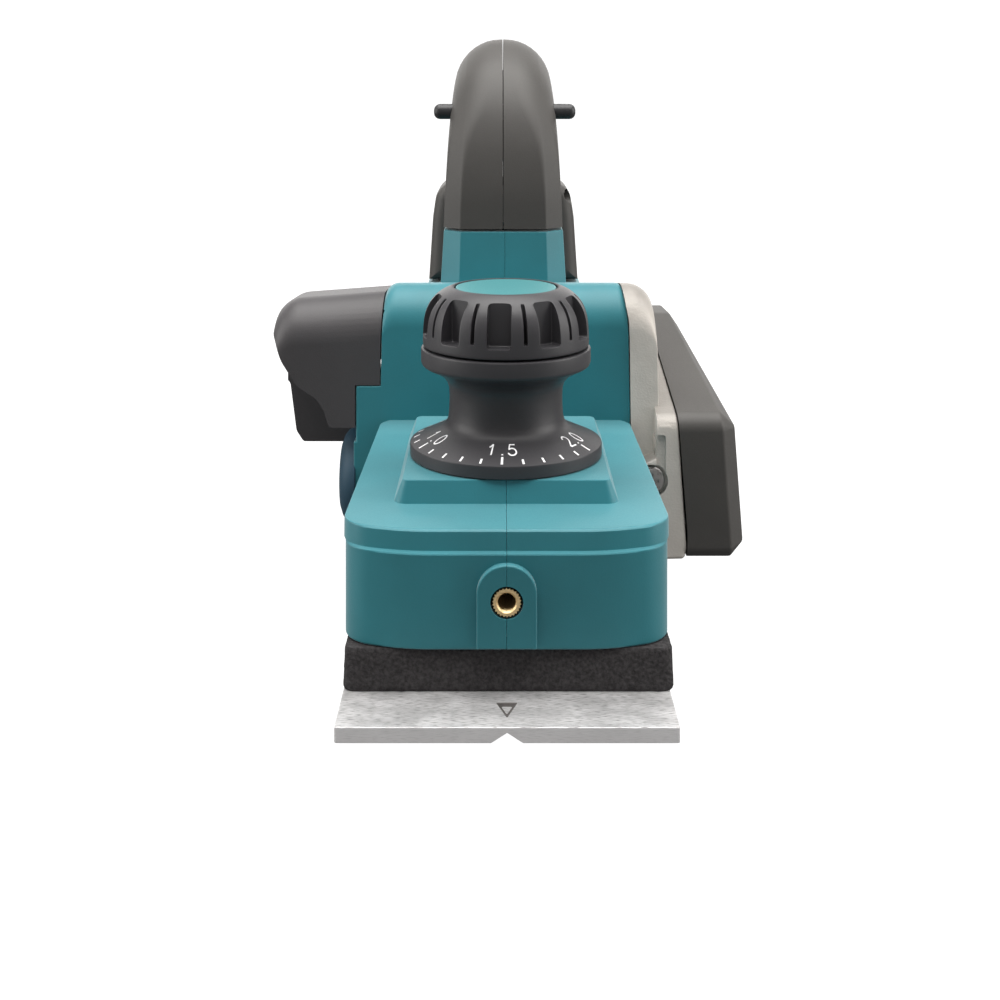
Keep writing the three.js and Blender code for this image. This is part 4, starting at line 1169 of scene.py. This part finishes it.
def foam_skirt():
    """The foam between the front sole and the housing, with a torn-cell surface."""
    z0, z1 = 5.35, 16.05
    outer = outline(rectangle(-41.7, 42.6, -126, -33, 3), 0, 6)
    dense = []
    for i, (x, y) in enumerate(outer):
        after = Vector(outer[(i + 1) % len(outer)])
        here = Vector((x, y))
        pieces = max(1, round((after - here).length / 0.7))
        for k in range(pieces):
            dense.append(here.lerp(after, k / pieces))
    rings = []
    levels = 14
    for level in range(levels + 1):
        z = z0 + (z1 - z0) * level / levels
        rim = min(level, levels - level)
        tuck = 0.35 if rim == 0 else 0.0
        ring = []
        for place in dense:
            outward = Vector((place.x, place.y + 79.5, 0)).normalized()
            grain = noise.fractal(Vector((place.x, place.y, z)) * 1.3, 1.0, 2.0, 4)
            shrink = (z - z0) / (z1 - z0) * 0.6 + tuck - 0.13 * grain
            ring.append((place.x - outward.x * shrink, place.y - outward.y * shrink, z))
        rings.append(ring)
    foam = loft("foam", rings)
    return cut(foam, block(-33.3, 33.3, -118, -37, 0, 30))


def coil():
    """The spring round the depth screw, as a round wire along a helix."""
    turns, radius, wire, z0, z1 = 5, 12.6, 0.9, 7, 41.5
    steps, sides = turns * 40, 12
    vertices, faces = [], []
    for i in range(steps + 1):
        angle = 2 * math.pi * turns * i / steps
        z = z0 + (z1 - z0) * i / steps
        centre = Vector((radius * math.cos(angle), KNOB_Y + radius * math.sin(angle), z))
        outward = Vector((math.cos(angle), math.sin(angle), 0))
        for k in range(sides):
            a = 2 * math.pi * k / sides
            vertices.append(tuple(centre + outward * wire * math.cos(a) + Vector((0, 0, wire * math.sin(a)))))
    for i in range(steps):
        faces += band(sides, i * sides, (i + 1) * sides)
    faces.append(tuple(range(sides - 1, -1, -1)))
    faces.append(tuple(range(steps * sides, (steps + 1) * sides)))
    return new_piece("coil", vertices, faces)


# ---------- trigger, battery, parking foot ----------
def trigger():
    side = [
        (40, 146, 0.5),
        (40, 138, 2),
        (43, 126.6, 4),
        (56, 130, 12),
        (67, 127.8, 4),
        (70, 137, 3),
        (70, 141, 0.6),
        (50, 143, 0.6),
    ]
    return slab("trigger", side, -7, 7, "X", 1.8, 1.8, 8)


def battery_case():
    case = slab("case", rectangle(-30, 30, 26, 108, 6), 150.4, 175, "Y", 1.2, 0.8, 8)
    cut(case, block(-10, 10, 149, 157, 0, 96), block(-14, 14, 153.4, 157, 0, 96))
    cut(case, plain(rectangle(-12, 12, 158, 170, 2.3), 100, 120, "Z"))
    for side in (-1, 1):
        for k in range(3):
            low_z = 40 + 18 * k
            cut(case, block(*sorted((side * 29.2, side * 32)), 155, 171, low_z, low_z + 8))
    return soften(case, 0.3, 45, 1)


def battery_back():
    back = slab("back", rectangle(-28.8, 28.8, 27.2, 106.8, 6), 175.3, 188, "Y", 0.8, 3.5, 8)
    ribs = [plain(rectangle(-20, 20, 44 + 7 * k, 46.4 + 7 * k, 1.1), 187.2, 190, "Y") for k in range(7)]
    return cut(back, *ribs)


def release_button():
    button = slab("button", rectangle(-11.5, 11.5, 158.5, 169.5, 2), 104.4, 110, "Z", 0.3, 1)
    for k in range(4):
        groove_y = 160.6 + 2.2 * k
        cut(button, plain(rectangle(-8, 8, groove_y, groove_y + 1, 0.4), 109.5, 112, "Z"))
    return button


def parking_foot():
    side = [(107, 16, 2), (107, 9.4, 3), (133, 0.5, 6), (146, 0.5, 1)]
    side += [(146, 5.4, 2), (119, 10, 4), (118, 16, 3)]
    lever = slab("foot", side, 20, 28, "X", 0.8, 0.8, 6)
    return cut(lever, rod(2.1, 19, 29, "X", (112, 12.6), 32))


def cutter_body():
    """The drum on its shaft, with a flat-bottomed slot on each side for a blade and its clamp."""
    axis = (0, DRUM_Z)
    profile = [(0, -40.8), (21.4, -40.8), (22.2, -40.2), (22.2, 40.2), (21.4, 40.8), (0, 40.8)]
    drum = turned("drum", profile, axis, "X", 128)
    join(drum, rod(7.5, -47.8, 50, "X", axis), rod(5.5, 40, 66.8, "X", axis))
    cut(drum, block(-60, 60, -1.1, 6, 35.5, 60), block(-60, 60, -6, 1.1, -13, 11.5))
    return drum


def bearing_cap():
    """A domed cap over the drum's bearing, as radius and distance from the tool's middle."""
    profile = [(0, 49.7), (16.2, 49.7), (16.6, 50.1), (16.3, 51.6)]
    profile += [(15.2, 53.4), (13.5, 54.7), (11, 55.6), (0, 56.2)]
    return turned("cap", [(radius, -x) for radius, x in profile], (0, DRUM_Z), "X")


# ---------- building it ----------
shell_left, shell_right = housing()
finish(shell_left, "shell_left", "housing", TEAL, ["housing_left"])
finish(shell_right, "shell_right", "housing", TEAL, ["housing_right"])

handle_left, handle_right = grips()
finish(handle_left, "handle_left", "housing", GREY, ["grip_left"])
finish(handle_right, "handle_right", "housing", GREY, ["grip_right"])

finish(side_frame(), "side_casting", "housing", CAST, ["side_frame"])
finish(belt_cover(), "belt_cover_shell", "housing", GREY, ["belt_cover"])
finish(chip_hood(), "chip_hood", "housing", CHARCOAL, ["chip_nozzle"])

finish(bearing_cap(), "drum_end_cap", "housing", TEAL_DARK, ["drum_bearing_cap"])

finish(knurled_insert(), "threaded_insert", "housing", BRASS, ["edge_guide_insert"])

casting_screw = pan_screw("screw", (FRAME_SCREW_X, -22.6, FRAME_SCREW_Z), "Y", -1, 4.5, 1.5, 2.3, 5, 4)
finish(casting_screw, "casting_screw", "housing", STEEL, ["side_frame_screw"])
for i, (x, y, z) in enumerate(GRIP_SCREWS, 1):
    screw = pan_screw("screw", (x, y, z), "X", 1, 3.4, 2.4, 1.7, 20)
    finish(screw, f"handle_screw_{i}", "housing", DARK_STEEL, [f"grip_screw_{i}"])
for i, (y, z) in enumerate(COVER_SCREWS, 1):
    x = cover_screw_x(y, z)
    screw = pan_screw("screw", (x, y, z), "X", 1, 2.8, 2, 1.7, x - PLATE_X - 1)
    finish(screw, f"cover_screw_{i}", "housing", DARK_STEEL, [f"belt_cover_screw_{i}"])
for i, side in enumerate((-1, 1), 1):
    screw = pan_screw("screw", (side * 35, 60, 2.7), "Z", -1, 3.4, 2.1, 1.8, 17, 4)
    finish(screw, f"sole_screw_{i}", "housing", STEEL, [f"rear_base_screw_{i}"])

finish(dial(), "dial_and_neck", "depth_knob", KNOB, ["knob_dial"])
finish(ribbed_grip(), "ribbed_grip", "depth_knob", KNOB, ["knob_grip"], 50)
finish(knob_cap(), "knob_disc", "depth_knob", TEAL_CAP, ["knob_cap"])
finish(dial_ticks(), "dial_ticks", "depth_knob", INK)
for text, steps in (("0", -15), ("0.5", -10), ("1.0", -5), ("1.5", 0), ("2.0", 5)):
    name = "dial_numeral_" + text.replace(".", "_")
    finish(dial_numeral(text, steps), name, "depth_knob", INK)

finish(front_sole(), "front_sole", "front_base", MILLED, ["front_base"])
# The engraved arrow's floor, in painted shade.
finish(arrow_shadow(), "sole_arrow_shade", "front_base", ARROW_SHADE)
finish(rear_sole(), "rear_sole", "housing", SOLE, ["rear_base"])

foam = finish(foam_skirt(), "foam_skirt", None, FOAM, ["foam_seal"], 60)
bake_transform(foam)
spring = finish(coil(), "knob_spring", None, STEEL, ["depth_spring"])
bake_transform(spring)

finish(lock_bar_shape(25.7, 0, "lock"), "lock_bar", "lock_off_bar", BLACK, ["lock_off_bar"])
finish(trigger(), "finger_trigger", "trigger", BLACK, ["trigger"])
finish(battery_case(), "battery_body", "battery", BLACK, ["battery_case"])
finish(battery_back(), "battery_lid", "battery", CHARCOAL, ["battery_back"])
finish(release_button(), "release_button", "battery_button", TEAL, ["battery_button"])
finish(parking_foot(), "rest_foot", "parking_foot", BLACK, ["parking_foot"])
finish(cutter_body(), "drum_body", "cutter_drum", CAST, ["cutter_drum"])

# CAD nodes that keep their own shape, with their materials; the rest of them are steel.
KEPT_NODES = {
    "switch_unit": BLACK,
    "control_board": BOARD,
    "battery_terminal": BLACK,
    "motor_stator": COPPER,
    "drive_belt": BELT,
    "cooling_fan": BLACK,
    "drum_pulley": DARK_STEEL,
    "motor_pulley": DARK_STEEL,
}
KEPT_NODES.update({f"blade_clamp_{i}": CAST for i in (1, 2)})
KEPT_NODES.update({f"clamp_screw_{i}": DARK_STEEL for i in (1, 2, 3, 4)})
for name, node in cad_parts.items():
    node.data.materials.clear()
    node.data.materials.append(KEPT_NODES.get(name, STEEL))


# ---------- floor, light and camera ----------
def camera_only(tree, seen, unseen):
    """One value for what the camera sees directly, and another for the light it sends."""
    path = tree.nodes.new("ShaderNodeLightPath")
    node = tree.nodes.new("ShaderNodeMapRange")
    node.inputs["To Min"].default_value = unseen
    node.inputs["To Max"].default_value = seen
    tree.links.new(path.outputs["Is Camera Ray"], node.inputs["Value"])
    return node.outputs["Result"]


def make_floor():
    size = 3.0
    mesh = bpy.data.meshes.new("floor")
    corners = [(-size, -size, 0), (size, -size, 0), (size, size, 0), (-size, size, 0)]
    mesh.from_pydata(corners, [], [(0, 1, 2, 3)])
    floor = bpy.data.objects.new("floor", mesh)
    bpy.context.scene.collection.objects.link(floor)
    floor.location.z = -0.4 * MM
    material, tree, surface = shader("pale floor")
    surface.inputs["Base Color"].default_value = (0.85, 0.85, 0.85, 1)
    surface.inputs["Roughness"].default_value = 0.9
    glow = tree.nodes.new("ShaderNodeEmission")
    tree.links.new(camera_only(tree, 1.2, 0.12), glow.inputs["Strength"])
    mix = tree.nodes.new("ShaderNodeMixShader")
    mix.inputs["Fac"].default_value = 0.9
    tree.links.new(surface.outputs["BSDF"], mix.inputs[1])
    tree.links.new(glow.outputs["Emission"], mix.inputs[2])
    tree.links.new(mix.outputs["Shader"], tree.nodes["Material Output"].inputs["Surface"])
    mesh.materials.append(material)


def make_light(name, place, size, power, aim=(0, 0, 0.05)):
    lamp = bpy.data.lights.new(name, "AREA")
    lamp.shape = "RECTANGLE"
    lamp.size, lamp.size_y = size
    lamp.energy = power
    lamp.color = (1.0, 0.985, 0.96)
    source = bpy.data.objects.new(name, lamp)
    source.location = place
    source.visible_camera = False
    source.rotation_euler = (Vector(aim) - Vector(place)).to_track_quat("-Z", "Y").to_euler()
    bpy.context.scene.collection.objects.link(source)


def make_world():
    world = bpy.data.worlds.new("studio")
    bpy.context.scene.world = world
    world.use_nodes = True
    background = world.node_tree.nodes["Background"]
    background.inputs["Color"].default_value = (1, 1, 1, 1)
    world.node_tree.links.new(camera_only(world.node_tree, 1.1, 0.13), background.inputs["Strength"])


def make_camera():
    """The camera is level, so the picture is shifted down instead of the camera being tilted."""
    data = bpy.data.cameras.new("camera")
    data.lens = LENS
    data.sensor_width = SENSOR
    camera = bpy.data.objects.new("camera", data)
    camera.location = (CAMERA_X * MM, (CAMERA_Y + DRUM_Y) * MM, CAMERA_Z * MM)
    camera.rotation_euler = (math.pi / 2, 0, 0)
    bpy.context.scene.collection.objects.link(camera)
    bpy.context.scene.camera = camera
    # The shift belongs to this viewpoint alone, so it fades out when the camera is placed at another height.
    curve = data.driver_add("shift_y")
    curve.driver.type = "SUM"
    variable = curve.driver.variables.new()
    variable.name = "height"
    variable.type = "TRANSFORMS"
    variable.targets[0].id = camera
    variable.targets[0].transform_type = "LOC_Z"
    variable.targets[0].transform_space = "WORLD_SPACE"
    for modifier in list(curve.modifiers):
        curve.modifiers.remove(modifier)
    height = CAMERA_Z * MM
    for offset, value in ((-25, 0), (-12, SHIFT), (12, SHIFT), (25, 0)):
        key = curve.keyframe_points.insert(height + offset * MM, value)
        key.interpolation = "LINEAR"


make_floor()
make_world()
make_light("overhead", (0, -0.1, 1.1), (1.4, 1.2), 32)
make_light("left softbox", (-1.1, -0.2, 0.4), (0.8, 1.0), 10)
make_light("right softbox", (1.1, -0.2, 0.4), (0.8, 1.0), 11)
make_light("front fill", (0, -1.6, 0.5), (1.2, 0.8), 1.3)
make_light("back sheen", (0, 1.5, 0.5), (2.6, 0.9), 16)
make_camera()
bpy.context.scene.view_settings.view_transform = "Standard"
